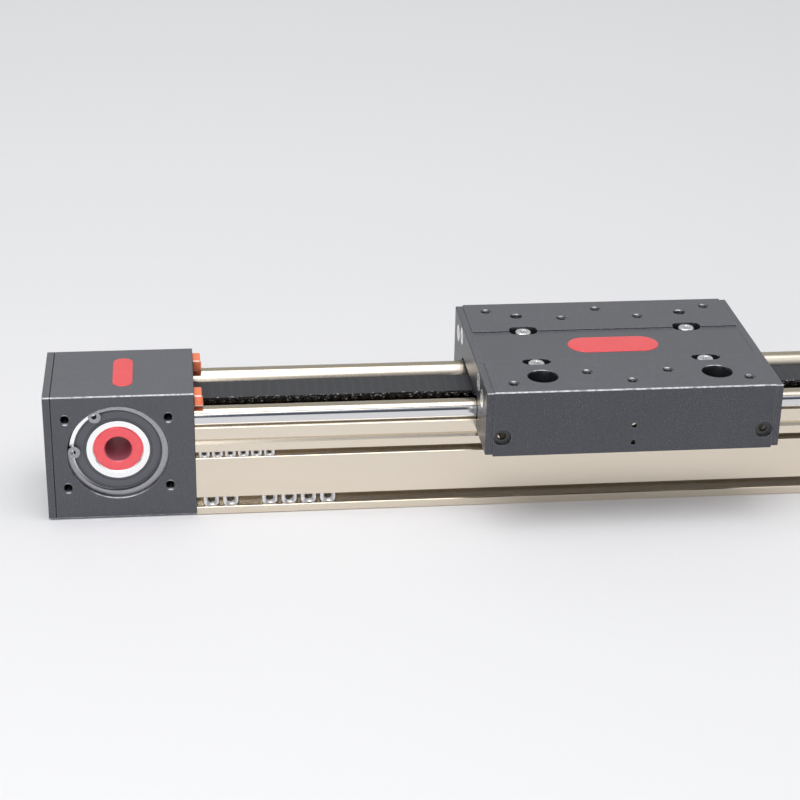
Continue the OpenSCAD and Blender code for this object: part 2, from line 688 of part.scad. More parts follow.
module roller_inner_rings()
  color(STEEL) for (side = [-1, 1]) at_rollers(side) difference() {
    translate([0, 0, roller_low]) cylinder(h = roller_w, r = inner_r, $fn = 48);
    translate([0, 0, roller_low - 1]) cylinder(h = roller_w + 2, r = bore_r, $fn = 48);
  }

module roller_shields()
  color(DARK) for (side = [-1, 1], z = [roller_low + 0.2, roller_top - 0.8]) at_rollers(side)
    difference() {
      translate([0, 0, z]) cylinder(h = 0.6, r = 8.6, $fn = 48);
      translate([0, 0, z - 1]) cylinder(h = 3, r = inner_r, $fn = 48);
    }

// outer ring with a round groove that rolls on the shaft; the groove is a little wider than the shaft
module track_roller(side, s) {
  groove_r = shaft_d / 2 + 0.05;
  lip = 1;
  color(STEEL) translate([car_x + s * roller_x, side * roller_y, shaft_z]) difference() {
    rotate_extrude($fn = 96) polygon([
      [8.7, -roller_w / 2], [roller_d / 2 - 0.3, -roller_w / 2], [roller_d / 2, -roller_w / 2 + 0.3],
      [roller_d / 2, roller_w / 2 - 0.3], [roller_d / 2 - 0.3, roller_w / 2], [8.7, roller_w / 2],
      [8.7, roller_w / 2 - lip], [7.4, roller_w / 2 - lip - 1], [7.4, -roller_w / 2 + lip + 1],
      [8.7, -roller_w / 2 + lip]]);
    rotate_extrude($fn = 96) translate([roller_y - shaft_y - 0.02, 0]) circle(r = groove_r, $fn = 64);
  }
}

module track_roller_front_drive() track_roller(-1, -1);
module track_roller_front_idler() track_roller(-1, 1);
module track_roller_rear_drive() track_roller(1, -1);
module track_roller_rear_idler() track_roller(1, 1);

// ---------- wipers, felts and badge ----------

// block over the top and outer side of a shaft, out to y1: l long and inset from both ends of
// the carriage block
module shaft_block(inset, l, y1, r) {
  inner = shaft_y - 6;
  step_z = shaft_z + shaft_d / 2 - 0.4;
  low = side_h + 0.8;
  top = ceiling_z - 0.1;
  both_sides() for (s = [0, 1]) translate([car_x, 0, 0]) mirror([s, 0, 0]) difference() {
    along_x(car_len / 2 - inset - l, l) polygon([
      [inner, step_z], [shaft_y, step_z], [shaft_y, low], [y1, low], [y1, top], [inner, top]]);
    translate([0, shaft_y, shaft_z]) xcyl(0, car_len, r);
  }
}

module shaft_wipers() color(DARK) shaft_block(0, wiper_l, 38, shaft_d / 2 + 0.05);

module lubricator_felts()
  color(FELT) shaft_block(wiper_l + felt_gap, felt_l, skirt_y, shaft_d / 2 + 0.02);

module carriage_badge()
  color(RED) translate([car_x, 0, 0]) long_hole(49.4, 20, car_top - recess_h, car_top - recess_h + 0.4);

// ---------- assembly ----------

rail_extrusion();
guide_shaft_front();
guide_shaft_rear();
upper_slot_nuts();
lower_slot_nuts();
housing();  // drive_housing
end_cover();  // drive_end_cover
cover_screws();  // drive_cover_screws
housing_screws();  // drive_housing_screws
bearing_outer_rings();  // drive_bearing_outer_rings
bearing_balls();  // drive_bearing_balls
bearing_seals();  // drive_bearing_seals
circlips();  // drive_circlips
bumpers();  // drive_bumpers
drive_badge();
drive_pulley();
bearing_inner_rings();  // drive_bearing_inner_rings
at_idler() housing();  // idler_housing
at_idler() end_cover();  // idler_end_cover
at_idler() cover_screws();  // idler_cover_screws
at_idler() housing_screws();  // idler_housing_screws
at_idler() bearing_outer_rings();  // idler_bearing_outer_rings
at_idler() bearing_balls();  // idler_bearing_balls
at_idler() bearing_seals();  // idler_bearing_seals
at_idler() circlips();  // idler_circlips
at_idler() bumpers();  // idler_bumpers
idler_pulley();
at_idler() bearing_inner_rings();  // idler_bearing_inner_rings
timing_belt();
carriage_block();
end_plate_drive_side();
end_plate_idler_side();
end_plate_screws();
belt_clamp_drive_side();
belt_clamp_idler_side();
belt_clamp_screws();
tooth_plate_drive_side();
tooth_plate_idler_side();
tooth_plate_screws();
roller_studs();
eccentric_bushes();
roller_nuts();
roller_inner_rings();
roller_shields();
shaft_wipers();
lubricator_felts();
carriage_badge();
track_roller_front_drive();
track_roller_front_idler();
track_roller_rear_drive();
track_roller_rear_idler();
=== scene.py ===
"""Looks of a belt driven linear axis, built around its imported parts.

An extruded rail carries two ground shafts. A roller carriage, clamped to a toothed belt, runs on
them between two bearing housings. The sections follow the axis as it is put together, and shapes
are worked out in millimetres.
"""
import math

import bmesh
import bpy
import numpy as np
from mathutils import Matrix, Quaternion, Vector


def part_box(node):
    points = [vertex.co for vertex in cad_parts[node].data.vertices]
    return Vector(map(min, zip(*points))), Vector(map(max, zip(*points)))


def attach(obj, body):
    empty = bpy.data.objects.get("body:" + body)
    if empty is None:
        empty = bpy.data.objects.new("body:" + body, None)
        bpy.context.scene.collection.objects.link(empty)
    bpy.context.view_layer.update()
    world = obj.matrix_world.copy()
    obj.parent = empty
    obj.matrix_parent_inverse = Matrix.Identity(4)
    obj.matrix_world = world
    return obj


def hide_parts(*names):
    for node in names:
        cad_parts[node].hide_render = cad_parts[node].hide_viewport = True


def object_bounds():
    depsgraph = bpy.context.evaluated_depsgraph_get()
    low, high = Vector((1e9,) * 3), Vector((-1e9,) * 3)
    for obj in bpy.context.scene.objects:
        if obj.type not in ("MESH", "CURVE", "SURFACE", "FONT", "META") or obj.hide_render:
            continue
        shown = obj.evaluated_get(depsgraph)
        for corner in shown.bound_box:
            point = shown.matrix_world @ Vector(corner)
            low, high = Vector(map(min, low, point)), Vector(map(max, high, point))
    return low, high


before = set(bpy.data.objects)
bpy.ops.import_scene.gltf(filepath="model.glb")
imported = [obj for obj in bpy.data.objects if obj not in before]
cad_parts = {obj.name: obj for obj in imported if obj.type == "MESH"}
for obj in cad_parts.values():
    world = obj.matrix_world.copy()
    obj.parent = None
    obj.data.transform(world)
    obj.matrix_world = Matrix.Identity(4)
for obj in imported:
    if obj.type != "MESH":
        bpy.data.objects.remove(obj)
cad_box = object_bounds()

# ---------- rail ----------
# One aluminium extrusion, satin champagne anodised. Fine die lines run along it, and its flat
# sides mirror the table softly.
MM = 0.001


def linear(code):
    """Linear RGBA of an sRGB hex colour."""
    share = [int(code[i : i + 2], 16) / 255 for i in (1, 3, 5)]
    return [c / 12.92 if c <= 0.04045 else ((c + 0.055) / 1.055) ** 2.4 for c in share] + [1.0]


def add(material, kind, sockets=(), **settings):
    """Adds a node with its settings to a material. A socket takes a value, or a node's output."""
    node = material.node_tree.nodes.new("ShaderNode" + kind)
    for name, value in settings.items():
        setattr(node, name, value)
    for name, value in dict(sockets).items():
        if isinstance(value, bpy.types.Node):
            value = value.outputs[0]
        if isinstance(value, bpy.types.NodeSocket):
            material.node_tree.links.new(value, node.inputs[name])
        else:
            node.inputs[name].default_value = value
    return node


def empty_material(name):
    """A node material with nothing in it yet, and the place of each point on the object."""
    material = bpy.data.materials.new(name)
    material.use_nodes = True
    material.node_tree.nodes.clear()
    return material, add(material, "TexCoord").outputs["Object"]


def cells(*sizes):
    """Mapping scale that makes a pattern's cells these sizes in mm along X, Y and Z."""
    return [1 / (size * MM) for size in sizes]


COLOUR_A, COLOUR_B = 6, 7  # colour sockets of a Mix node


def champagne_anodised_aluminium():
    """Metal under a thin tinted oxide: pale warm metal, soft mirror, fine lines along the rail.
    In the channel and the chambers below it, painted shade makes it dark."""
    m, place = empty_material("champagne_anodised_aluminium")
    at = add(m, "SeparateXYZ", {"Vector": place})
    side = add(m, "Math", {0: at.outputs["Y"]}, operation="ABSOLUTE")
    # painted shade: within the channel and the chambers under it the colour is mixed towards dark
    # brown
    within = add(m, "MapRange", {"Value": side, "From Min": 18 * MM, "From Max": 17.5 * MM,
                                 "To Max": 0.97})
    high = at.outputs["Z"]
    under = add(m, "MapRange", {"Value": high, "From Min": 52.6 * MM, "From Max": 50.6 * MM})
    over = add(m, "MapRange", {"Value": high, "From Min": 0.3 * MM, "From Max": 0.8 * MM})
    inside = add(m, "Math", {0: within, 1: under}, operation="MULTIPLY")
    channel_shade = add(m, "Math", {0: inside, 1: over}, operation="MULTIPLY")
    lines_cells = add(m, "Mapping", {"Vector": place, "Scale": cells(60, 0.4, 0.4)})
    lines = add(m, "TexNoise", {"Vector": lines_cells, "Scale": 1.0, "Detail": 3.0})
    cloud_cells = add(m, "Mapping", {"Vector": place, "Scale": cells(90, 25, 18)})
    cloud = add(m, "TexNoise", {"Vector": cloud_cells, "Scale": 1.0})
    tint = add(m, "Mix", {"Factor": cloud, COLOUR_A: linear("#dfd3c1"), COLOUR_B: linear("#e6dccc")},
               data_type="RGBA")
    gloss = add(m, "MapRange", {"Value": lines, "From Min": 0.3, "From Max": 0.7, "To Min": 0.17,
                                "To Max": 0.24})
    soft = add(m, "Bevel", {"Radius": 0.12 * MM}, samples=4)
    relief = add(m, "Bump", {"Height": lines, "Distance": 0.0004 * MM, "Normal": soft})
    channel_shaded = add(m, "Mix", {"Factor": channel_shade, COLOUR_A: tint.outputs[2], COLOUR_B: linear("#4d453b")},
                 data_type="RGBA")
    shader = add(m, "BsdfPrincipled", {"Base Color": channel_shaded.outputs[2], "Metallic": 1.0,
                                       "Roughness": gloss, "Normal": relief})
    add(m, "OutputMaterial", {"Surface": shader})
    return m


def dress(material, *nodes):
    """Gives parts of the frame a material."""
    for name in nodes:
        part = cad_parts[name]
        if not part.material_slots:
            part.data.materials.append(material)
        for slot in part.material_slots:
            slot.link, slot.material = "OBJECT", material


champagne = champagne_anodised_aluminium()
dress(champagne, "rail_extrusion")

# ---------- guide shafts ----------
# Ground and polished steel bars pressed into the rail's upper corners. Grinding leaves very fine
# rings round them.


def ground_steel():
    """Hard polished steel: almost a mirror, with faint rings left by the grinding wheel."""
    m, place = empty_material("ground_steel")
    rings_cells = add(m, "Mapping", {"Vector": place, "Scale": cells(0.4, 60, 60)})
    rings = add(m, "TexNoise", {"Vector": rings_cells, "Scale": 1.0, "Detail": 2.0})
    gloss = add(m, "MapRange", {"Value": rings, "From Min": 0.3, "From Max": 0.7, "To Min": 0.07,
                                "To Max": 0.13})
    relief = add(m, "Bump", {"Height": rings, "Distance": 0.0006 * MM})
    shader = add(m, "BsdfPrincipled", {"Base Color": linear("#dadadb"), "Metallic": 1.0,
                                       "Roughness": gloss, "Normal": relief})
    add(m, "OutputMaterial", {"Surface": shader})
    return m


dress(ground_steel(), "guide_shaft_front", "guide_shaft_rear")

# ---------- nuts in the T-slots ----------
# Zinc plated hexagon nuts, six M3 in the upper slot and six M5 in the lower one. Their corners
# are turned off at 30 degrees, and the bores are threaded.


def box_mm(node):
    """Lowest and highest corners of a part of the frame, in mm."""
    return [np.array(corner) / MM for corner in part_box(node)]


def grid_faces(rows, columns, ring=True):
    """Quads of a grid numbered row by row. Its columns close, and so do its rows where ring is
    true."""
    r = np.arange(rows if ring else rows - 1)[:, None]
    c = np.arange(columns)[None]
    up, on = (r + 1) % rows, (c + 1) % columns
    corners = r * columns + c, r * columns + on, up * columns + on, up * columns + c
    return np.stack(corners, -1).reshape(-1, 4).tolist()


def lathe(section, columns, shape=None):
    """Turns a section about Z: each (radius, height) becomes a ring of columns points. A section
    that starts and ends on the axis is closed there by fans, and any other closes on itself.
    shape(radius, height, angle) may change the radii, as for a hexagon or a thread."""
    section = np.asarray(section, float)
    solid = section[0, 0] == 0
    rows = section[1:-1] if solid else section
    angle = np.arange(columns) * 2 * np.pi / columns
    r, h, a = np.broadcast_arrays(rows[:, :1], rows[:, 1:], angle[None])
    if shape:
        r = shape(r, h, a)
    points = np.stack([r * np.cos(a), r * np.sin(a), h], -1).reshape(-1, 3)
    faces = grid_faces(len(rows), columns, not solid)
    if solid:
        first = np.arange(columns)
        for row, height in ((0, section[0, 1]), (len(rows) - 1, section[-1, 1])):
            tip = np.full(columns, len(points))
            points = np.concatenate([points, [[0, 0, height]]])
            rim = row * columns
            faces += np.stack([rim + first, rim + (first + 1) % columns, tip], -1).tolist()
    return points, faces


def hexagon(angle):
    """Radius of a hexagon over half its width across flats: one over the cosine of the angle from
    the nearest flat's middle."""
    return 1 / np.cos((angle + np.pi / 6) % (np.pi / 3) - np.pi / 6)


def ridge(height, angle, pitch):
    """Height of a thread's helical ridge, 0 to 1: a triangle wave along the axis that moves by one
    pitch a turn."""
    return 1 - np.abs(2 * ((height / pitch - angle / (2 * np.pi)) % 1) - 1)


def nut(flats, thread, height, pitch):
    """A hexagon nut on z = 0. Outside it is the lesser of a hexagon and a 30 degree cone, which
    starts at either face from 0.96 of half the flats. In the bore a ridge winds inwards from the
    thread's diameter."""
    half, bore, lead = flats / 2, thread / 2, flats * 0.1
    rows_a_turn = 6
    rows = round((height - 2 * lead) / pitch * rows_a_turn)
    wall = [(bore, h) for h in np.linspace(height - lead, lead, rows)]
    levels = 0, 0.05, 0.1, 0.15, 0.25, 0.5, 0.75, 0.85, 0.9, 0.95, 1
    outside = [(half * 1.2, height * share) for share in levels]
    section = [(bore + lead, 0), (half * 0.9, 0), *outside, (half * 0.9, height),
               (bore + lead, height), *wall]

    def shape(r, h, a):
        cone = 0.96 * half + np.minimum(h, height - h) / math.tan(math.radians(30))
        hexed = np.where(r > half, np.minimum(half * hexagon(a), cone), r)
        return np.where(r == bore, bore - 0.5 * pitch * ridge(h, a, pitch), hexed)

    return lathe(section, 36, shape)


def facing(points, way):
    """Turns points made along +Z to run along another axis."""
    x, y, z = np.moveaxis(np.asarray(points), -1, 0)
    turned = {"+x": (z, y, -x), "-x": (-z, y, x), "+y": (x, z, -y), "-y": (x, -z, y)}
    return np.stack(turned[way], -1)


def copies(points, faces, places):
    """The same mesh at each place, as one list of points and one of faces."""
    count = len(points)
    moved = np.concatenate([points + np.asarray(place, float) for place in places])
    return moved, [[i + k * count for i in face] for k in range(len(places)) for face in faces]


def joined(*meshes):
    """Several meshes as one list of points and one of faces."""
    points, faces, count = [], [], 0
    for part_points, part_faces in meshes:
        points.append(part_points)
        faces += [[i + count for i in face] for face in part_faces]
        count += len(part_points)
    return np.concatenate(points), faces


def piece(name, mesh_data, material, body, replaces=(), crease=35):
    """Makes a piece of closed shells from points in mm and faces. It rides on a body, stands for
    the parts in replaces, and shows edges sharper than crease in degrees."""
    points, faces = mesh_data
    mesh = bpy.data.meshes.new(name)
    mesh.from_pydata((np.asarray(points) * MM).tolist(), [], faces)
    shell = bmesh.new()
    shell.from_mesh(mesh)
    bmesh.ops.recalc_face_normals(shell, faces=shell.faces)
    shell.to_mesh(mesh)
    shell.free()
    mesh.shade_smooth()
    mesh.set_sharp_from_angle(angle=math.radians(crease))
    mesh.materials.append(material)
    made = bpy.data.objects.new(name, mesh)
    bpy.context.scene.collection.objects.link(made)
    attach(made, body)
    if replaces:
        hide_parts(*replaces)
    return made


def zinc_plated_steel():
    """Bright zinc: a soft, slightly cloudy mirror."""
    m, place = empty_material("zinc_plated_steel")
    cloud_cells = add(m, "Mapping", {"Vector": place, "Scale": cells(0.9, 0.9, 0.9)})
    cloud = add(m, "TexNoise", {"Vector": cloud_cells, "Scale": 1.0, "Detail": 3.0})
    tint = add(m, "Mix", {"Factor": cloud, COLOUR_A: linear("#cfd0d4"), COLOUR_B: linear("#ffffff")},
               data_type="RGBA")
    gloss = add(m, "MapRange", {"Value": cloud, "To Min": 0.2, "To Max": 0.4})
    shader = add(m, "BsdfPrincipled", {"Base Color": tint.outputs[2], "Metallic": 0.75,
                                       "Roughness": gloss})
    add(m, "OutputMaterial", {"Surface": shader})
    return m


zinc = zinc_plated_steel()


def slot_nuts(node, flats, thread, pitch, step, places):
    """A row of nuts that fill a slot of the rail from the drive end: a nut at each given step."""
    low, high = box_mm(node)
    mesh, faces = nut(flats, thread, high[1] - low[1], pitch)
    first = low[0] + flats / math.sqrt(3)
    middles = [(first + i * step, high[1], (low[2] + high[2]) / 2) for i in places]
    row = copies(facing(mesh, "-y"), faces, middles)
    piece(node + "_threaded", row, zinc, "base", [node])


slot_nuts("upper_slot_nuts", flats=5.5, thread=3, pitch=0.5, step=6.8, places=range(6))
slot_nuts("lower_slot_nuts", flats=8, thread=5, pitch=0.8, step=10.3, places=(0, 1, 3, 4, 5, 6))

# ---------- claws of the rail ----------
# Thin arms of the extrusion that stand on its seats and grip each shaft round its inner side and
# its top. They stop short of the outer side, where the track rollers run.


def claw(r, wall, undercut, tip, foot):
    """Section of a claw as Y and Z from the shaft's axis, outer side towards +Y. Its outer arc runs
    over the top from the tip to 45 degrees on the inner side, where a slope leaves it along its
    tangent and drops to the foot. The inner arc follows just off the shaft, up to an undercut
    behind the tip. Angles are in degrees from upright."""
    outer = np.radians(np.linspace(tip, -45, 24))
    over = np.stack([np.sin(outer), np.cos(outer)], 1) * (r + wall)
    drop, spread, clear = 2.4, 0.5, 0.02
    slope = over[-1] - drop
    inner = np.radians(np.linspace(-95, tip - undercut, 28))
    inside = np.stack([np.sin(inner), np.cos(inner)], 1) * (r + clear)
    return np.concatenate([over, [slope, (slope[0] - spread, foot), (inside[0, 0], foot)], inside])


shaft_low, shaft_high = box_mm("guide_shaft_rear")
shaft_mid, shaft_r = (shaft_low + shaft_high) / 2, (shaft_high[2] - shaft_low[2]) / 2
rail_top = box_mm("rail_extrusion")[1][2]
section = claw(shaft_r, wall=0.7, undercut=9, tip=47, foot=rail_top - shaft_mid[2])
ring = len(section)
ends = np.repeat([shaft_low[0], shaft_high[0]], ring)
rear = np.column_stack([ends, np.tile(section + shaft_mid[1:], (2, 1))])
strips = grid_faces(2, ring, False) + [list(range(ring)), list(range(ring, 2 * ring))]
piece("shaft_claws", joined((rear, strips), (rear * [1, -1, 1], strips)), champagne, "base")

# ---------- end housings and covers ----------
# Blocks milled from aluminium, bead blasted and black anodised, one at each end of the rail, each
# closed by a flat cover.


def black_anodised_aluminium(name, deep, light, mirror, middle, half):
    """Dyed oxide over a blasted surface: matt charcoal with tiny bright grains. Edges get a painted
    highlight, pale in patches, and so, here and there, do the long chamfers, whose faces lean
    between Y and Z. The seams' chamfers, which lean to X, are painted near black, a painted
    shade, and faces that look straight up are painted lighter, a painted sheen. In holes and
    slots painted shade makes it near black: more than 1 mm inside the block of half size half
    about middle, in mm, counted from the plane x = mirror. The grains are drawn 0.5 mm wide, so
    that they show."""
    m, place = empty_material(name)
    blasting_cells = add(m, "Mapping", {"Vector": place, "Scale": cells(0.5, 0.5, 0.5)})
    blasting = add(m, "TexNoise", {"Vector": blasting_cells, "Scale": 1.0, "Detail": 3.0,
                                   "Roughness": 0.6})
    cloud_cells = add(m, "Mapping", {"Vector": place, "Scale": cells(28, 28, 28)})
    cloud = add(m, "TexNoise", {"Vector": cloud_cells, "Scale": 1.0, "Detail": 2.0})
    grains = add(m, "MapRange", {"Value": blasting, "From Min": 0.56, "From Max": 0.74})
    dye = add(m, "Mix", {"Factor": cloud, COLOUR_A: linear(deep), COLOUR_B: linear(light)},
              data_type="RGBA")
    facet = add(m, "NewGeometry").outputs["True Normal"]
    lean = add(m, "SeparateXYZ", {"Vector": facet})
    # painted sheen: faces that look straight up are mixed towards pale grey, so tops come out lighter
    top_sheen = add(m, "MapRange", {"Value": lean.outputs["Z"], "From Min": 0.95, "To Max": 0.24})
    sheened = add(m, "Mix", {"Factor": top_sheen, COLOUR_A: dye.outputs[2], COLOUR_B: linear("#9c9ca2")},
                data_type="RGBA")
    tint = add(m, "Mix", {"Factor": grains, COLOUR_A: sheened.outputs[2], COLOUR_B: linear("#85878f")},
               data_type="RGBA")
    # painted highlight: at edges, where the bevelled normal turns from the facet's, the colour goes
    # pale in patches
    soft = add(m, "Bevel", {"Radius": 0.3 * MM}, samples=6)
    turn = add(m, "VectorMath", {0: soft, 1: facet}, operation="DOT_PRODUCT").outputs["Value"]
    edge = add(m, "MapRange", {"Value": turn, "From Min": 0.99, "From Max": 0.9})
    patches = add(m, "MapRange", {"Value": blasting, "From Min": 0.35, "From Max": 0.6, "To Min": 0.1,
                                  "To Max": 0.5})
    worn = add(m, "Math", {0: edge, 1: patches}, operation="MULTIPLY")
    # painted highlight: chamfers whose faces lean between Y and Z go pale too, here and there
    slope = add(m, "Math", {0: lean.outputs["Y"], 1: lean.outputs["Z"]}, operation="MULTIPLY")
    steep = add(m, "Math", {0: slope}, operation="ABSOLUTE")
    chamfer = add(m, "MapRange", {"Value": steep, "From Min": 0.4, "From Max": 0.48})
    glint_patch_cells = add(m, "Mapping", {"Vector": place, "Scale": cells(2.5, 2.5, 2.5)})
    glint_patches = add(m, "TexNoise", {"Vector": glint_patch_cells, "Scale": 1.0, "Detail": 4.0})
    strips = add(m, "MapRange", {"Value": glint_patches, "From Min": 0.35, "From Max": 0.6, "To Min": 0.3})
    chamfer_glint = add(m, "Math", {0: chamfer, 1: strips}, operation="MULTIPLY")
    glint_and_wear = add(m, "Math", {0: worn, 1: chamfer_glint}, operation="MAXIMUM")
    # painted shade: chamfers that lean to X, at the seams, go near black
    along = add(m, "Math", {0: lean.outputs["X"]}, operation="ABSOLUTE")
    leans = add(m, "Math", {0: along, 1: 0.6}, operation="GREATER_THAN")
    not_end = add(m, "Math", {0: along, 1: 0.8}, operation="LESS_THAN")
    seam_shade = add(m, "Math", {0: leans, 1: not_end}, operation="MULTIPLY")
    pale = add(m, "Mix", {"Factor": glint_and_wear, COLOUR_A: tint.outputs[2], COLOUR_B: linear("#d2d3d7")},
               data_type="RGBA")
    # painted shade: more than 1 mm inside the block, in holes and slots, the colour goes near black
    from_mirror = add(m, "VectorMath", {0: place, 1: (mirror * MM, 0, 0)}, operation="SUBTRACT")
    folded = add(m, "VectorMath", {0: from_mirror}, operation="ABSOLUTE")
    from_middle = add(m, "VectorMath", {0: folded, 1: [c * MM for c in middle]}, operation="SUBTRACT")
    off = add(m, "VectorMath", {0: from_middle}, operation="ABSOLUTE")
    past = add(m, "VectorMath", {0: off, 1: [c * MM for c in half]}, operation="SUBTRACT")
    out = add(m, "SeparateXYZ", {"Vector": past})
    level = add(m, "Math", {0: out.outputs["X"], 1: out.outputs["Y"]}, operation="MAXIMUM")
    furthest = add(m, "Math", {0: level, 1: out.outputs["Z"]}, operation="MAXIMUM")
    hole_shade = add(m, "MapRange", {"Value": furthest, "From Min": -1.0 * MM, "From Max": -1.8 * MM,
                                 "To Max": 0.9})
    unlit = add(m, "Math", {0: seam_shade, 1: hole_shade}, operation="MAXIMUM")
    dark = add(m, "Mix", {"Factor": unlit, COLOUR_A: pale.outputs[2], COLOUR_B: linear("#141518")},
               data_type="RGBA")
    relief = add(m, "Bump", {"Height": blasting, "Distance": 0.03 * MM, "Normal": soft})
    shader = add(m, "BsdfPrincipled", {"Base Color": dark.outputs[2], "Roughness": 0.4, "IOR": 1.7,
                                       "Normal": relief})
    add(m, "OutputMaterial", {"Surface": shader})
    return m


low, high = box_mm("idler_housing")
black_anodised = black_anodised_aluminium("black_anodised_aluminium", "#34363d", "#3d3f46", 0,
                                          (low + high) / 2, (high - low) / 2)
dress(black_anodised, "drive_housing", "drive_end_cover", "idler_housing", "idler_end_cover")


def threads(core, deep, pitch=1.0):
    """Thread ridges for a tapped hole whose mouth is at z = 0: a thin sleeve that sits in the wall
    of the core hole, with a helical ridge on its inside."""
    lead, sunk, tall, rows_a_turn = 0.5, 0.1, 0.32, 5
    low, high = lead - deep, -lead
    heights = np.linspace(high, low, round((high - low) / pitch * rows_a_turn) + 1)
    bore, back = core / 2, core / 2 + sunk
    section = [(back, low), (back, high), *((bore, h) for h in heights)]
    return lathe(section, 20, lambda r, h, a: np.where(r == bore, r - tall * ridge(h, a, pitch), r))


M6_CORE = 5
for end, housing in (("drive", "drive_housing"), ("idler", "idler_housing")):
    ring_low, ring_high = box_mm(end + "_bearing_outer_rings")
    side = box_mm(housing)[1][1]
    middle = (ring_low + ring_high) / 2
    across, up = 53 / 2, 39.2 / 2  # half the spacing of the flange holes
    mesh, faces = threads(M6_CORE, deep=12)
    corners = [(middle[0] + i * across, 0, middle[2] + j * up) for i in (-1, 1) for j in (-1, 1)]
    front = copies(facing(mesh, "-y"), faces, [(x, -side, z) for x, _, z in corners])
    rear = copies(facing(mesh, "+y"), faces, [(x, side, z) for x, _, z in corners])
    piece(end + "_flange_threads", joined(front, rear), black_anodised, "base")

# ---------- screws of the housings ----------
# Black steel: countersunk M4 screws hold the covers, and long M5 cap screws hold the housings to
# the rail.


def blackened_steel():
    """Oiled black oxide on steel: nearly black, half glossy, a little worn."""
    m, place = empty_material("blackened_steel")
    wear_cells = add(m, "Mapping", {"Vector": place, "Scale": cells(0.7, 0.7, 0.7)})
    glint_and_wear = add(m, "TexNoise", {"Vector": wear_cells, "Scale": 1.0, "Detail": 4.0})
    tint = add(m, "Mix", {"Factor": glint_and_wear, COLOUR_A: linear("#26272a"), COLOUR_B: linear("#5b5c60")},
               data_type="RGBA")
    gloss = add(m, "MapRange", {"Value": glint_and_wear, "To Min": 0.28, "To Max": 0.42})
    shader = add(m, "BsdfPrincipled", {"Base Color": tint.outputs[2], "Metallic": 0.85,
                                       "Roughness": gloss})
    add(m, "OutputMaterial", {"Surface": shader})
    return m


black_steel = blackened_steel()
dress(black_steel, "drive_housing_screws", "idler_housing_screws", "tooth_plate_screws",
      "eccentric_bushes")


def keyed(key):
    """Shape of a screw with a hexagon socket: rings at half the key's width become hexagons."""
    return lambda r, h, a: np.where(r == key / 2, r * hexagon(a), r)


def countersunk_screw(thread, head, length, key):
    """A countersunk screw along Z: its head tapers at 45 degrees from a flat top at z = 0. A hexagon
    socket of that key's width goes down into it, and its thread ends in a 45 degree lead."""
    rim, bolt, socket = head / 2, thread / 2, key / 2
    floor, lead, edge = -1.7, 0.5, 0.15
    section = [(0, floor - 0.5), (socket, floor), (socket, -edge), (socket + 0.35, 0), (rim - 0.2, 0),
               (rim, -edge), (bolt, bolt - rim - edge), (bolt, lead - length), (bolt - lead, -length),
               (0, -length)]
    return lathe(section, 48, keyed(key))


for end, way in (("drive", "-x"), ("idler", "+x")):
    node = end + "_cover_screws"
    low, high = box_mm(node)
    head = 8
    mesh, faces = countersunk_screw(thread=4, head=head, length=high[0] - low[0], key=2.5)
    x = low[0] if way == "-x" else high[0]
    places = [(x, y, z) for y in (low[1] + head / 2, high[1] - head / 2)
              for z in (low[2] + head / 2, high[2] - head / 2)]
    piece(end + "_countersunk_screws", copies(facing(mesh, way), faces, places), black_steel, "base",
          [node])

# ---------- bearings ----------
# Sealed ball bearings, one in each side wall of each housing: bright rings, steel balls, and
# black rubber seals with moulded ribs. A circlip holds each in its bore.


def bearing_steel():
    """Fine ground chrome steel: bright, with rings round the bearing too fine to see one by one."""
    m, place = empty_material("bearing_steel")
    grinding_cells = add(m, "Mapping", {"Vector": place, "Scale": cells(0.5, 0.5, 0.5)})
    grinding = add(m, "TexNoise", {"Vector": grinding_cells, "Scale": 1.0, "Detail": 2.0})
    gloss = add(m, "MapRange", {"Value": grinding, "To Min": 0.16, "To Max": 0.28})
    shader = add(m, "BsdfPrincipled", {"Base Color": linear("#ffffff"), "Metallic": 1.0,
                                       "Roughness": gloss})
    add(m, "OutputMaterial", {"Surface": shader})
    return m


def nitrile_rubber():
    """Moulded seal rubber: dark grey, matt with a slight sheen, and a fine moulded grain."""
    m, place = empty_material("nitrile_rubber")
    grain_cells = add(m, "Mapping", {"Vector": place, "Scale": cells(0.4, 0.4, 0.4)})
    grain = add(m, "TexNoise", {"Vector": grain_cells, "Scale": 1.0, "Detail": 3.0})
    tint = add(m, "Mix", {"Factor": grain, COLOUR_A: linear("#505157"), COLOUR_B: linear("#696a70")},
               data_type="RGBA")
    relief = add(m, "Bump", {"Height": grain, "Distance": 0.01 * MM})
    shader = add(m, "BsdfPrincipled", {"Base Color": tint.outputs[2], "Roughness": 0.5,
                                       "Normal": relief})
    add(m, "OutputMaterial", {"Surface": shader})
    return m


def phosphated_spring_steel():
    """Stamped spring steel under a thin phosphate: mid grey, half glossy, slightly crystalline."""
    m, place = empty_material("phosphated_spring_steel")
    crystals_cells = add(m, "Mapping", {"Vector": place, "Scale": cells(0.6, 0.6, 0.6)})
    crystals = add(m, "TexNoise", {"Vector": crystals_cells, "Scale": 1.0, "Detail": 4.0})
    tint = add(m, "Mix", {"Factor": crystals, COLOUR_A: linear("#77787d"),
                          COLOUR_B: linear("#c4c4c9")}, data_type="RGBA")
    gloss = add(m, "MapRange", {"Value": crystals, "To Min": 0.25, "To Max": 0.42})
    soft = add(m, "Bevel", {"Radius": 0.25 * MM}, samples=4)
    shader = add(m, "BsdfPrincipled", {"Base Color": tint.outputs[2], "Metallic": 1.0,
                                       "Roughness": gloss, "Normal": soft})
    add(m, "OutputMaterial", {"Surface": shader})
    return m


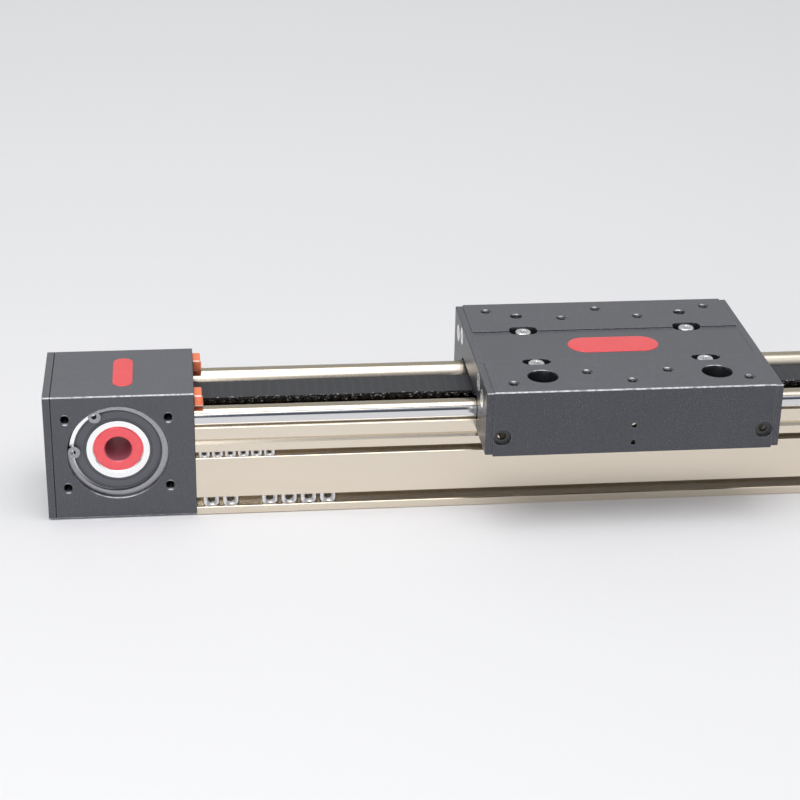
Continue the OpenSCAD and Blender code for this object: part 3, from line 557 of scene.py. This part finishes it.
bright_steel = bearing_steel()
seal_rubber = nitrile_rubber()
dress(phosphated_spring_steel(), "drive_circlips", "idler_circlips")
for end in ("drive", "idler"):
    dress(bright_steel, end + "_bearing_outer_rings", end + "_bearing_inner_rings",
          end + "_bearing_balls")


def seal(inner, outer, thick):
    """A bearing seal with its outer face at z = 0: a bead at the rim, a flat ring, and a groove
    and a lip against the inner ring."""
    lip = [(inner, -thick), (inner, -0.35), (inner + 0.2, -0.15), (inner + 0.8, -0.15)]
    groove = [(inner + 1, -0.5), (inner + 1.5, -0.5), (inner + 1.7, -0.1)]
    flat = [(outer - 1.3, -0.1), (outer - 1.1, -0.4), (outer - 0.7, -0.4)]
    bead = [(outer - 0.5, 0), (outer - 0.2, 0), (outer, -0.2), (outer, -thick)]
    return lathe(lip + groove + flat + bead, 128)


SEAL_WIDTH, SEAL_THICK, SEAL_SUNK, BEARING_WIDTH = 6.65, 1.2, 0.4, 15
for end in ("drive", "idler"):
    node = end + "_bearing_seals"
    low, high = box_mm(node)
    outer = (high[0] - low[0]) / 2
    mesh, faces = seal(outer - SEAL_WIDTH, outer, SEAL_THICK)
    x, z, y = (low[0] + high[0]) / 2, (low[2] + high[2]) / 2, high[1]
    inside = y - BEARING_WIDTH + 2 * SEAL_SUNK  # the seal on the other face of the same bearing
    front = copies(facing(mesh, "-y"), faces, [(x, -y, z), (x, inside, z)])
    rear = copies(facing(mesh, "+y"), faces, [(x, y, z), (x, -inside, z)])
    piece(end + "_ribbed_seals", joined(front, rear), seal_rubber, "base", [node])

# ---------- bumpers ----------
# Soft orange rubber stops above the shafts, at both ends of the travel. Each is a moulded block
# with rounded edges and a lip along its foot.


def orange_rubber():
    """Moulded silicone: even orange with a soft sheen. Its long rounded edges, whose faces lean
    between Y and Z, get a painted highlight, near white."""
    m, place = empty_material("orange_rubber")
    bloom_cells = add(m, "Mapping", {"Vector": place, "Scale": cells(1.5, 1.5, 1.5)})
    bloom = add(m, "TexNoise", {"Vector": bloom_cells, "Scale": 1.0, "Detail": 3.0})
    tint = add(m, "Mix", {"Factor": bloom, COLOUR_A: linear("#f57a4e"), COLOUR_B: linear("#ff9067")},
               data_type="RGBA")
    # painted highlight: rounded edges, whose faces lean between Y and Z, go near white
    lean = add(m, "SeparateXYZ", {"Vector": add(m, "NewGeometry").outputs["True Normal"]})
    slope = add(m, "Math", {0: lean.outputs["Y"], 1: lean.outputs["Z"]}, operation="MULTIPLY")
    steep = add(m, "Math", {0: slope}, operation="ABSOLUTE")
    edge = add(m, "MapRange", {"Value": steep, "From Min": 0.12, "From Max": 0.3})
    pale = add(m, "Mix", {"Factor": edge, COLOUR_A: tint.outputs[2], COLOUR_B: linear("#ffe9df")},
               data_type="RGBA")
    relief = add(m, "Bump", {"Height": bloom, "Distance": 0.03 * MM})
    shader = add(m, "BsdfPrincipled", {"Base Color": pale.outputs[2], "Roughness": 0.38,
                                       "Normal": relief})
    add(m, "OutputMaterial", {"Surface": shader})
    return m


def bumper(wide, high, thick):
    """A block on the plane z = 0, centred: a profile across its height and thickness, with a lip
    along its foot, is carried over the width. Towards both ends it shrinks about its middle
    along a quarter circle."""
    foot, head, back = -high / 2, high / 2, thick - 0.6
    lip = [(foot, 0), (foot, thick - 0.3), (foot + 0.3, thick), (foot + 0.7, thick)]
    block = [(foot + 1.2, back), (head - 0.6, back), (head - 0.17, back - 0.17), (head, back - 0.6),
             (head, 0)]
    profile = np.array(lip + block)
    turn = np.linspace(0, np.pi / 2, 6)
    edge = 0.8
    run, shrink = edge * (1 - np.sin(turn[::-1])), edge * (1 - np.cos(turn[::-1]))
    y = np.concatenate([run - wide / 2, (wide / 2 - run)[::-1]])[:, None]
    scale = 1 - 2 * np.concatenate([shrink, shrink[::-1]])[:, None] / high
    z, x = profile[:, 0] * scale, thick / 2 + (profile[:, 1] - thick / 2) * scale
    points = np.stack([z, np.broadcast_to(y, z.shape), x], -1).reshape(-1, 3)
    rows, columns = z.shape
    caps = [list(range(columns)), list(range((rows - 1) * columns, rows * columns))]
    return points, grid_faces(rows, columns, False) + caps


orange = orange_rubber()
for end, way in (("drive", "+x"), ("idler", "-x")):
    node = end + "_bumpers"
    low, high = box_mm(node)
    face = box_mm("rail_extrusion")[0 if end == "drive" else 1][0]
    wide, foot = 11.4, 0.5  # the foot hangs lower than the block in the frame
    tall = high[2] - low[2] + foot
    thick = high[0] - face if end == "drive" else face - low[0]
    mesh, faces = bumper(wide, tall, thick)
    # local x becomes -z for +x and z for -x, so the foot is turned down on both
    mesh = mesh * [-1 if end == "drive" else 1, 1, 1]
    places = [(face, y, high[2] - tall / 2) for y in (low[1] + wide / 2, high[1] - wide / 2)]
    piece(end + "_moulded_bumpers", copies(facing(mesh, way), faces, places), orange, "base",
          [node], 50)

# ---------- pulleys ----------
# Turned aluminium with cut teeth, anodised red, on the bearings' inner rings. The drive pulley is
# hollow for a motor shaft.


def red_anodised_aluminium(axis, bore):
    """Red dyed oxide over turned metal: strong colour in the light, and painted shade in the bore of
    that radius about the axis, in mm: a dull rose, which looks maroon there. The axis is that of
    the pulley at +X, and the other one is its mirror image."""
    m, place = empty_material("red_anodised_aluminium")
    turning_cells = add(m, "Mapping", {"Vector": place, "Scale": cells(3, 0.35, 3)})
    turning = add(m, "TexNoise", {"Vector": turning_cells, "Scale": 1.0, "Detail": 2.0})
    tint = add(m, "Mix", {"Factor": turning, COLOUR_A: linear("#f4555c"),
                          COLOUR_B: linear("#fe6d74")}, data_type="RGBA")
    # painted shade: within the bore's radius the colour turns to a dull rose
    folded = add(m, "VectorMath", {0: place}, operation="ABSOLUTE")
    off = add(m, "VectorMath", {0: folded, 1: [c * MM for c in axis]}, operation="SUBTRACT")
    arm = add(m, "VectorMath", {0: off, 1: (1, 0, 1)}, operation="MULTIPLY")
    radius = add(m, "VectorMath", {0: arm}, operation="LENGTH").outputs["Value"]
    within = add(m, "MapRange", {"Value": radius, "From Min": (bore + 0.25) * MM,
                                 "From Max": (bore + 0.05) * MM})
    shaded = add(m, "Mix", {"Factor": within, COLOUR_A: tint.outputs[2], COLOUR_B: linear("#cc7483")},
                 data_type="RGBA")
    gloss = add(m, "MapRange", {"Value": turning, "To Min": 0.28, "To Max": 0.4})
    shader = add(m, "BsdfPrincipled", {"Base Color": shaded.outputs[2], "Metallic": 0.3,
                                       "Roughness": gloss})
    add(m, "OutputMaterial", {"Surface": shader})
    return m


low, high = box_mm("idler_pulley")
HUB_BORE = 14
dress(red_anodised_aluminium((low + high) / 2, HUB_BORE / 2), "drive_pulley", "idler_pulley")

# ---------- toothed belt ----------
# An endless belt of dark polyurethane over steel cords, with a round tooth every 5 mm. It runs
# over both pulleys, above the rail's channel and back through the rail.


def belt_polyurethane():
    """Cast polyurethane: matt dark grey, with a faint paler band over each tooth, where the mould
    pressed it. The band follows the belt, from the attribute over_tooth. The cut sides are painted
    nearly black, a painted shade, with bright specks of cord."""
    m, place = empty_material("belt_polyurethane")
    cords_cells = add(m, "Mapping", {"Vector": place, "Scale": cells(40, 0.9, 40)})
    cords = add(m, "TexNoise", {"Vector": cords_cells, "Scale": 1.0, "Detail": 2.0})
    band = add(m, "Attribute", attribute_name="over_tooth").outputs["Fac"]
    plain = add(m, "Mix", {"Factor": cords, COLOUR_A: linear("#343539"), COLOUR_B: linear("#3e3f43")},
                data_type="RGBA")
    faint = add(m, "Math", {0: band, 1: 0.06}, operation="MULTIPLY")
    paler = add(m, "Mix", {"Factor": faint, COLOUR_A: plain.outputs[2], COLOUR_B: linear("#85868c")},
                data_type="RGBA")
    # painted shade: faces that look sideways go nearly black, with bright specks of cord
    lean = add(m, "SeparateXYZ", {"Vector": add(m, "NewGeometry").outputs["True Normal"]})
    sideways = add(m, "Math", {0: lean.outputs["Y"]}, operation="ABSOLUTE")
    cut = add(m, "Math", {0: sideways, 1: 0.5}, operation="GREATER_THAN")
    specks_cells = add(m, "Mapping", {"Vector": place, "Scale": cells(1.2, 1.2, 0.7)})
    specks = add(m, "TexNoise", {"Vector": specks_cells, "Scale": 1.0, "Detail": 2.0})
    cord_ends = add(m, "MapRange", {"Value": specks, "From Min": 0.6, "From Max": 0.72})
    flecked = add(m, "Mix", {"Factor": cord_ends, COLOUR_A: linear("#151517"),
                             COLOUR_B: linear("#c8c8cc")}, data_type="RGBA")
    sides = add(m, "Mix", {"Factor": cut, COLOUR_A: paler.outputs[2], COLOUR_B: flecked.outputs[2]},
                data_type="RGBA")
    relief = add(m, "Bump", {"Height": cords, "Distance": 0.01 * MM})
    shader = add(m, "BsdfPrincipled", {"Base Color": sides.outputs[2], "Roughness": 0.48,
                                       "Normal": relief})
    add(m, "OutputMaterial", {"Surface": shader})
    return m


def toothed_loop(node, pitch, back_thick, tooth_r, tooth_sink, pitch_line):
    """The belt as a section carried round its loop. A point of the loop at length s has a middle
    and an outward normal: straight up on the top run, then round one pulley, down on the lower
    run, and round the other. The back lies at a fixed distance from the middle, and the inside
    nearer by the tooth's height, half a circle at every pitch. Returns the mesh, and for each
    point how near it is to a tooth's middle."""
    low, high = box_mm(node)
    back_r = (high[2] - low[2]) / 2
    root_r = back_r - back_thick
    axis_x, axis_z = high[0] - back_r, (low[2] + high[2]) / 2
    pitch_r = root_r + pitch_line
    run, bend = 2 * axis_x, np.pi * pitch_r
    teeth = round(2 * (run + bend) / pitch)
    # rows across one tooth, close together where its round flank meets the flat inside
    steps = np.array([-2.2, -1.7, -1.51, -1.49, -1.35, -1.0, -0.5, 0, 0.5, 1.0, 1.35, 1.49, 1.51, 1.7])
    off = np.tile(steps, teeth)
    s = (np.repeat(np.arange(teeth) * pitch, len(steps)) + off) % (2 * (run + bend))
    half = np.floor(s / (run + bend))  # 0 on the top run and the idler pulley, 1 on the rest
    t = s - half * (run + bend)
    turn = np.maximum(t - run, 0) / pitch_r
    flip = 1 - 2 * half
    middle_x = flip * (np.minimum(t, run) - axis_x)
    normal_x, normal_z = flip * np.sin(turn), flip * np.cos(turn)
    round_part = np.sqrt(np.maximum(tooth_r**2 - off**2, 0))
    tooth = np.where(np.abs(off) < tooth_r, tooth_sink + round_part, 0)
    edge, wide = 0.2, high[1]
    y = np.array([edge - wide, -wide / 3, wide / 3, wide - edge, wide, wide])
    y = np.concatenate([y, -y])
    outer = np.array([1, 1, 1, 1, 1, 0, 0, 0, 0, 0, 0, 1])
    nudge = np.array([0, 0, 0, 0, -edge, edge, 0, 0, 0, 0, edge, -edge])
    distance = outer * back_r + (1 - outer) * (root_r - tooth[:, None]) + nudge
    x = middle_x[:, None] + normal_x[:, None] * distance
    z = axis_z + normal_z[:, None] * distance
    points = np.stack([x, np.broadcast_to(y, x.shape), z], -1).reshape(-1, 3)
    near = np.repeat(np.clip(1 - np.abs(off) / (pitch * 0.2), 0, 1), len(y))
    return points, grid_faces(len(s), len(y)), near


points, faces, near_tooth = toothed_loop("timing_belt", pitch=5, back_thick=1.74, tooth_r=1.5,
                                         tooth_sink=0.5, pitch_line=0.57)
belt = piece("toothed_belt", (points, faces), belt_polyurethane(), "base",
             ["timing_belt"], 40)
belt.data.attributes.new("over_tooth", "FLOAT", "POINT").data.foreach_set("value", near_tooth)

# ---------- carriage ----------
# A milled block with deep skirts, black anodised like the housings but a darker copy, painted
# shade, with thin plates closing its ends. The tapped holes in its top take the load.

block_low, block_high = box_mm("carriage_block")
car_x = (block_low[0] + block_high[0]) / 2
car_middle = 0, 0, (block_low[2] + block_high[2]) / 2
# painted shade: the carriage's copy of the black anodising is darker than the housings'
shaded_anodised = black_anodised_aluminium("shaded_black_anodised_aluminium", "#24262f", "#2e3038", car_x,
                                         car_middle, (block_high - block_low) / 2)
dress(shaded_anodised, "carriage_block", "end_plate_drive_side", "end_plate_idler_side")
car_half, car_side, car_top = (block_high[0] - block_low[0]) / 2, block_high[1], block_high[2]
outer_x, outer_y = car_half - 11.5, car_side - 11  # the holes near the rim
inner_x, inner_y = 21.5, 37  # the four round the badge
spots = [(x, y) for x in (-outer_x, 0, outer_x) for y in (-outer_y, outer_y)]
spots += [(x, y) for x in (-inner_x, inner_x) for y in (-inner_y, inner_y)]
mesh, faces = threads(M6_CORE, deep=10)
places = [(car_x + x, y, car_top) for x, y in spots]
piece("carriage_threads", copies(mesh, faces, places), shaded_anodised, "carriage")

# ---------- screws of the carriage ----------
# Zinc plated steel: countersunk screws that stand a hair proud hold the end plates, and cap screws
# on washers, sunk in slots, pull the belt clamps up against the block.


def cap_screw(thread, head, head_high, length, key):
    """A cap screw along Z: its head stands on z = 0, with a broken edge and a hexagon socket."""
    rim, bolt, socket = head / 2, thread / 2, key / 2
    edge, foot, lead = 0.45, 0.2, 0.5
    section = [(0, head_high * 0.3), (socket, head_high * 0.42), (socket, head_high - 0.25),
               (socket + 0.4, head_high), (rim - edge, head_high), (rim, head_high - edge),
               (rim, foot), (rim - foot, 0), (bolt, 0), (bolt, lead - length), (bolt - lead, -length),
               (0, -length)]
    return lathe(section, 48, keyed(key))


low, high = box_mm("end_plate_screws")
plates = box_mm("end_plate_drive_side")[0][0], box_mm("end_plate_idler_side")[1][0]
PLATE_HEAD, PROUD, INWARD = 9.5, 0.3, 13
mesh, faces = countersunk_screw(thread=5, head=PLATE_HEAD, length=12, key=3)
spots = [(side * (high[1] - PLATE_HEAD / 2 - inward), z) for side in (-1, 1)
         for inward, z in ((0, low[2] + PLATE_HEAD / 2), (INWARD, high[2] - PLATE_HEAD / 2))]
drive_side = copies(facing(mesh, "-x"), faces, [(plates[0] - PROUD, y, z) for y, z in spots])
idler_side = copies(facing(mesh, "+x"), faces, [(plates[1] + PROUD, y, z) for y, z in spots])
piece("plate_countersunk_screws", joined(drive_side, idler_side), zinc, "carriage",
      ["end_plate_screws"])

low, high = box_mm("belt_clamp_screws")
CAP, CAP_HIGH, WASHER, WASHER_BORE = 8.5, 5, 0.8, 5.2
points, faces = cap_screw(5, CAP, CAP_HIGH, length=high[2] - CAP_HIGH - low[2], key=4)
washer = lathe([(WASHER_BORE / 2, 0), (CAP / 2, 0), (CAP / 2, WASHER), (WASHER_BORE / 2, WASHER)], 48)
mesh, faces = joined((points + [0, 0, WASHER], faces), washer)
places = [(x, y, high[2] - CAP_HIGH) for x in (low[0] + CAP / 2, high[0] - CAP / 2)
          for y in (low[1] + CAP / 2, high[1] - CAP / 2)]
piece("clamp_cap_screws", copies(mesh, faces, places), zinc, "carriage",
      ["belt_clamp_screws"])

# ---------- belt clamps ----------
# Each end of the carriage grips the belt between a milled body and a toothed plate below it, both
# plain aluminium.


def milled_aluminium():
    """Bare cut metal: bright, brushed by the cutter."""
    m, place = empty_material("milled_aluminium")
    marks_cells = add(m, "Mapping", {"Vector": place, "Scale": cells(0.5, 20, 0.5)})
    marks = add(m, "TexNoise", {"Vector": marks_cells, "Scale": 1.0, "Detail": 2.0})
    gloss = add(m, "MapRange", {"Value": marks, "To Min": 0.25, "To Max": 0.45})
    relief = add(m, "Bump", {"Height": marks, "Distance": 0.004 * MM})
    shader = add(m, "BsdfPrincipled", {"Base Color": linear("#c9cacc"), "Metallic": 1.0,
                                       "Roughness": gloss, "Normal": relief})
    add(m, "OutputMaterial", {"Surface": shader})
    return m


dress(milled_aluminium(), "belt_clamp_drive_side", "belt_clamp_idler_side", "tooth_plate_drive_side",
      "tooth_plate_idler_side")

# ---------- track rollers ----------
# Four grooved steel rollers run on the shafts. The rear studs screw into the block, and the front
# ones stand in eccentric bushes, locked by nuts under the round openings in the top.

dress(bright_steel, "roller_studs", "roller_inner_rings", "track_roller_front_drive",
      "track_roller_front_idler", "track_roller_rear_drive", "track_roller_rear_idler")
dress(seal_rubber, "roller_shields", "shaft_wipers")

low, high = box_mm("roller_nuts")
M6_FLATS = 10
mesh, faces = nut(M6_FLATS, thread=6, height=high[2] - low[2], pitch=1)
corner = M6_FLATS / math.sqrt(3)
middles = [(x, (low[1] + high[1]) / 2, low[2]) for x in (low[0] + corner, high[0] - corner)]
mesh = np.stack([mesh[:, 1], -mesh[:, 0], mesh[:, 2]], 1)  # a quarter turn
piece("roller_lock_nuts", copies(mesh, faces, middles), black_steel, "carriage",
      ["roller_nuts"])

# ---------- wipers and felts ----------
# Rubber wipers clean the shafts at both ends of the carriage, and oiled felts behind them keep
# the shafts wet.


def oiled_felt():
    """Pressed wool soaked in oil: dark brown, matt and fibrous."""
    m, place = empty_material("oiled_felt")
    fibres_cells = add(m, "Mapping", {"Vector": place, "Scale": cells(0.8, 0.3, 0.5)})
    fibres = add(m, "TexNoise", {"Vector": fibres_cells, "Scale": 1.0, "Detail": 5.0,
                                 "Distortion": 0.8})
    tint = add(m, "Mix", {"Factor": fibres, COLOUR_A: linear("#2f2a20"), COLOUR_B: linear("#5d5340")},
               data_type="RGBA")
    relief = add(m, "Bump", {"Height": fibres, "Distance": 0.15 * MM})
    shader = add(m, "BsdfPrincipled", {"Base Color": tint.outputs[2], "Roughness": 0.9,
                                       "Normal": relief})
    add(m, "OutputMaterial", {"Surface": shader})
    return m


dress(oiled_felt(), "lubricator_felts")

# ---------- badges ----------
# Plain red plates with round ends, cast in clear resin over red film, one glued in the carriage's
# recess and one on the drive housing. They carry no words.


def red_resin():
    """Clear resin over red film: even red under a glossy skin that swells a little."""
    m, place = empty_material("red_resin")
    swell_cells = add(m, "Mapping", {"Vector": place, "Scale": cells(9, 9, 9)})
    swell = add(m, "TexNoise", {"Vector": swell_cells, "Scale": 1.0})
    tint = add(m, "Mix", {"Factor": swell, COLOUR_A: linear("#ea4a50"), COLOUR_B: linear("#f4585c")},
               data_type="RGBA")
    relief = add(m, "Bump", {"Height": swell, "Distance": 0.05 * MM})
    shader = add(m, "BsdfPrincipled", {"Base Color": tint.outputs[2], "Roughness": 0.3,
                                       "Coat Weight": 0.6, "Coat Roughness": 0.08, "Normal": relief})
    add(m, "OutputMaterial", {"Surface": shader})
    return m


def badge(long, wide, thick):
    """A plate with half round ends on z = 0: rings of its outline step inwards, and rise along a
    quarter of an ellipse to a flat top."""
    end = np.arange(48) * 2 * np.pi / 48 + np.pi / 48
    turn = np.linspace(0, np.pi / 2, 8)
    edge = min(1.2, wide / 8)
    inset = np.concatenate([[0], edge * (1 - np.cos(turn)), [wide / 4, wide / 2 - 0.6]])[:, None]
    rise = np.concatenate([[0], 0.25 + 0.75 * np.sin(turn), [1, 1]])[:, None]
    x = np.sign(np.cos(end)) * (long - wide) / 2 + (wide / 2 - inset) * np.cos(end)
    y = (wide / 2 - inset) * np.sin(end)
    points = np.stack([x, y, np.broadcast_to(rise * thick, x.shape)], -1).reshape(-1, 3)
    rows, columns = x.shape
    caps = [list(range(columns)), list(range((rows - 1) * columns, rows * columns))]
    return points, grid_faces(rows, columns, False) + caps


resin = red_resin()
for node, body in (("carriage_badge", "carriage"), ("drive_badge", "base")):
    low, high = box_mm(node)
    size, middle = high - low, (low + high) / 2
    mesh, faces = badge(max(size[:2]), min(size[:2]), size[2])
    if size[1] > size[0]:
        mesh = mesh[:, [1, 0, 2]]
    mesh = mesh + [middle[0], middle[1], low[2]]
    piece(node + "_domed", (mesh, faces), resin, body, [node], 50)

# ---------- stage, light and camera ----------
# A plain pale table under a white sky, with a large soft box above and a smaller one in front.
# The table is painted a little darker in front than far behind, a painted shade.

mesh = bpy.data.meshes.new("table")
half, top = 6.0, cad_box[0].z
corners = [(-half, -half, top), (half, -half, top), (half, half, top), (-half, half, top)]
mesh.from_pydata(corners, [], [(0, 1, 2, 3)])
table_top = bpy.data.objects.new("table", mesh)
bpy.context.scene.collection.objects.link(table_top)
paint, place = empty_material("matt_white_table")
at = add(paint, "SeparateXYZ", {"Vector": place})
# painted shade: the table goes from a little darker in front to paler beyond 1.3 m behind
away = add(paint, "MapRange", {"Value": at.outputs["Y"], "From Min": 0.3, "From Max": 1.3})
pale = add(paint, "Mix", {"Factor": away, COLOUR_A: linear("#ebebed"), COLOUR_B: linear("#fafafc")},
           data_type="RGBA")
matt = add(paint, "BsdfPrincipled", {"Base Color": pale.outputs[2], "Roughness": 0.6})
add(paint, "OutputMaterial", {"Surface": matt})
mesh.materials.append(paint)


def soft_box(name, place, aim, size, power):
    """A square lamp at a place, turned to a point, in metres and watts."""
    light = bpy.data.lights.new(name, "AREA")
    light.size, light.energy = size, power
    lamp = bpy.data.objects.new(name, light)
    lamp.location = place
    lamp.rotation_euler = (Vector(aim) - Vector(place)).to_track_quat("-Z", "Y").to_euler()
    bpy.context.scene.collection.objects.link(lamp)


soft_box("soft_box_above", (-0.3, -0.35, 1.5), (0, 0, 0), size=1.4, power=12.5)
soft_box("soft_box_front", (-0.7, -1.5, 0.9), (-0.1, 0, 0.03), size=0.9, power=6.0)

# The sky turns from the front horizon over the zenith to the back horizon: white in front and
# above, with the dark gap of the tent round the camera, and a grey curtain behind.
world = bpy.data.worlds.new("light_tent")
world.use_nodes = True
world.node_tree.nodes.clear()
way = add(world, "SeparateXYZ", {"Vector": add(world, "TexCoord").outputs["Generated"]})
front = add(world, "Math", {0: way.outputs["Y"], 1: -1.0}, operation="MULTIPLY")
angle = add(world, "Math", {0: way.outputs["Z"], 1: front}, operation="ARCTAN2")
half_turn = add(world, "Math", {0: angle, 1: math.pi}, operation="DIVIDE")
tent = add(world, "ValToRGB", {"Fac": half_turn})
stops = ((0.0, "#fdfdff"), (0.045, "#fdfdff"), (0.075, "#5b606b"), (0.15, "#4b505b"),
         (0.2, "#777a80"), (0.32, "#fdfdff"), (0.53, "#fdfdff"), (0.58, "#a3a49f"), (1.0, "#b0b1b0"))
for place, code in stops[2:]:  # a new ramp has two stops already
    tent.color_ramp.elements.new(place)
for stop, (place, code) in zip(tent.color_ramp.elements, stops):
    stop.position, stop.color = place, linear(code)
sky = add(world, "Background", {"Color": tent, "Strength": 1.0})
add(world, "OutputWorld", {"Surface": sky})
bpy.context.scene.world = world

lens = bpy.data.cameras.new("camera")
lens.sensor_width, lens.lens = 36.0, 89.35
lens.clip_start, lens.clip_end = 0.01, 50.0
camera = bpy.data.objects.new("camera", lens)
camera.location = (-0.23666, -0.96535, 0.49671)
camera.rotation_mode = "QUATERNION"
look = Vector((0.10717, 0.90222, -0.41774))
roll = Quaternion((0, 0, 1), math.radians(1.1))
camera.rotation_quaternion = look.to_track_quat("-Z", "Y") @ roll
bpy.context.scene.collection.objects.link(camera)
bpy.context.scene.camera = camera
bpy.context.scene.view_settings.view_transform = "Standard"
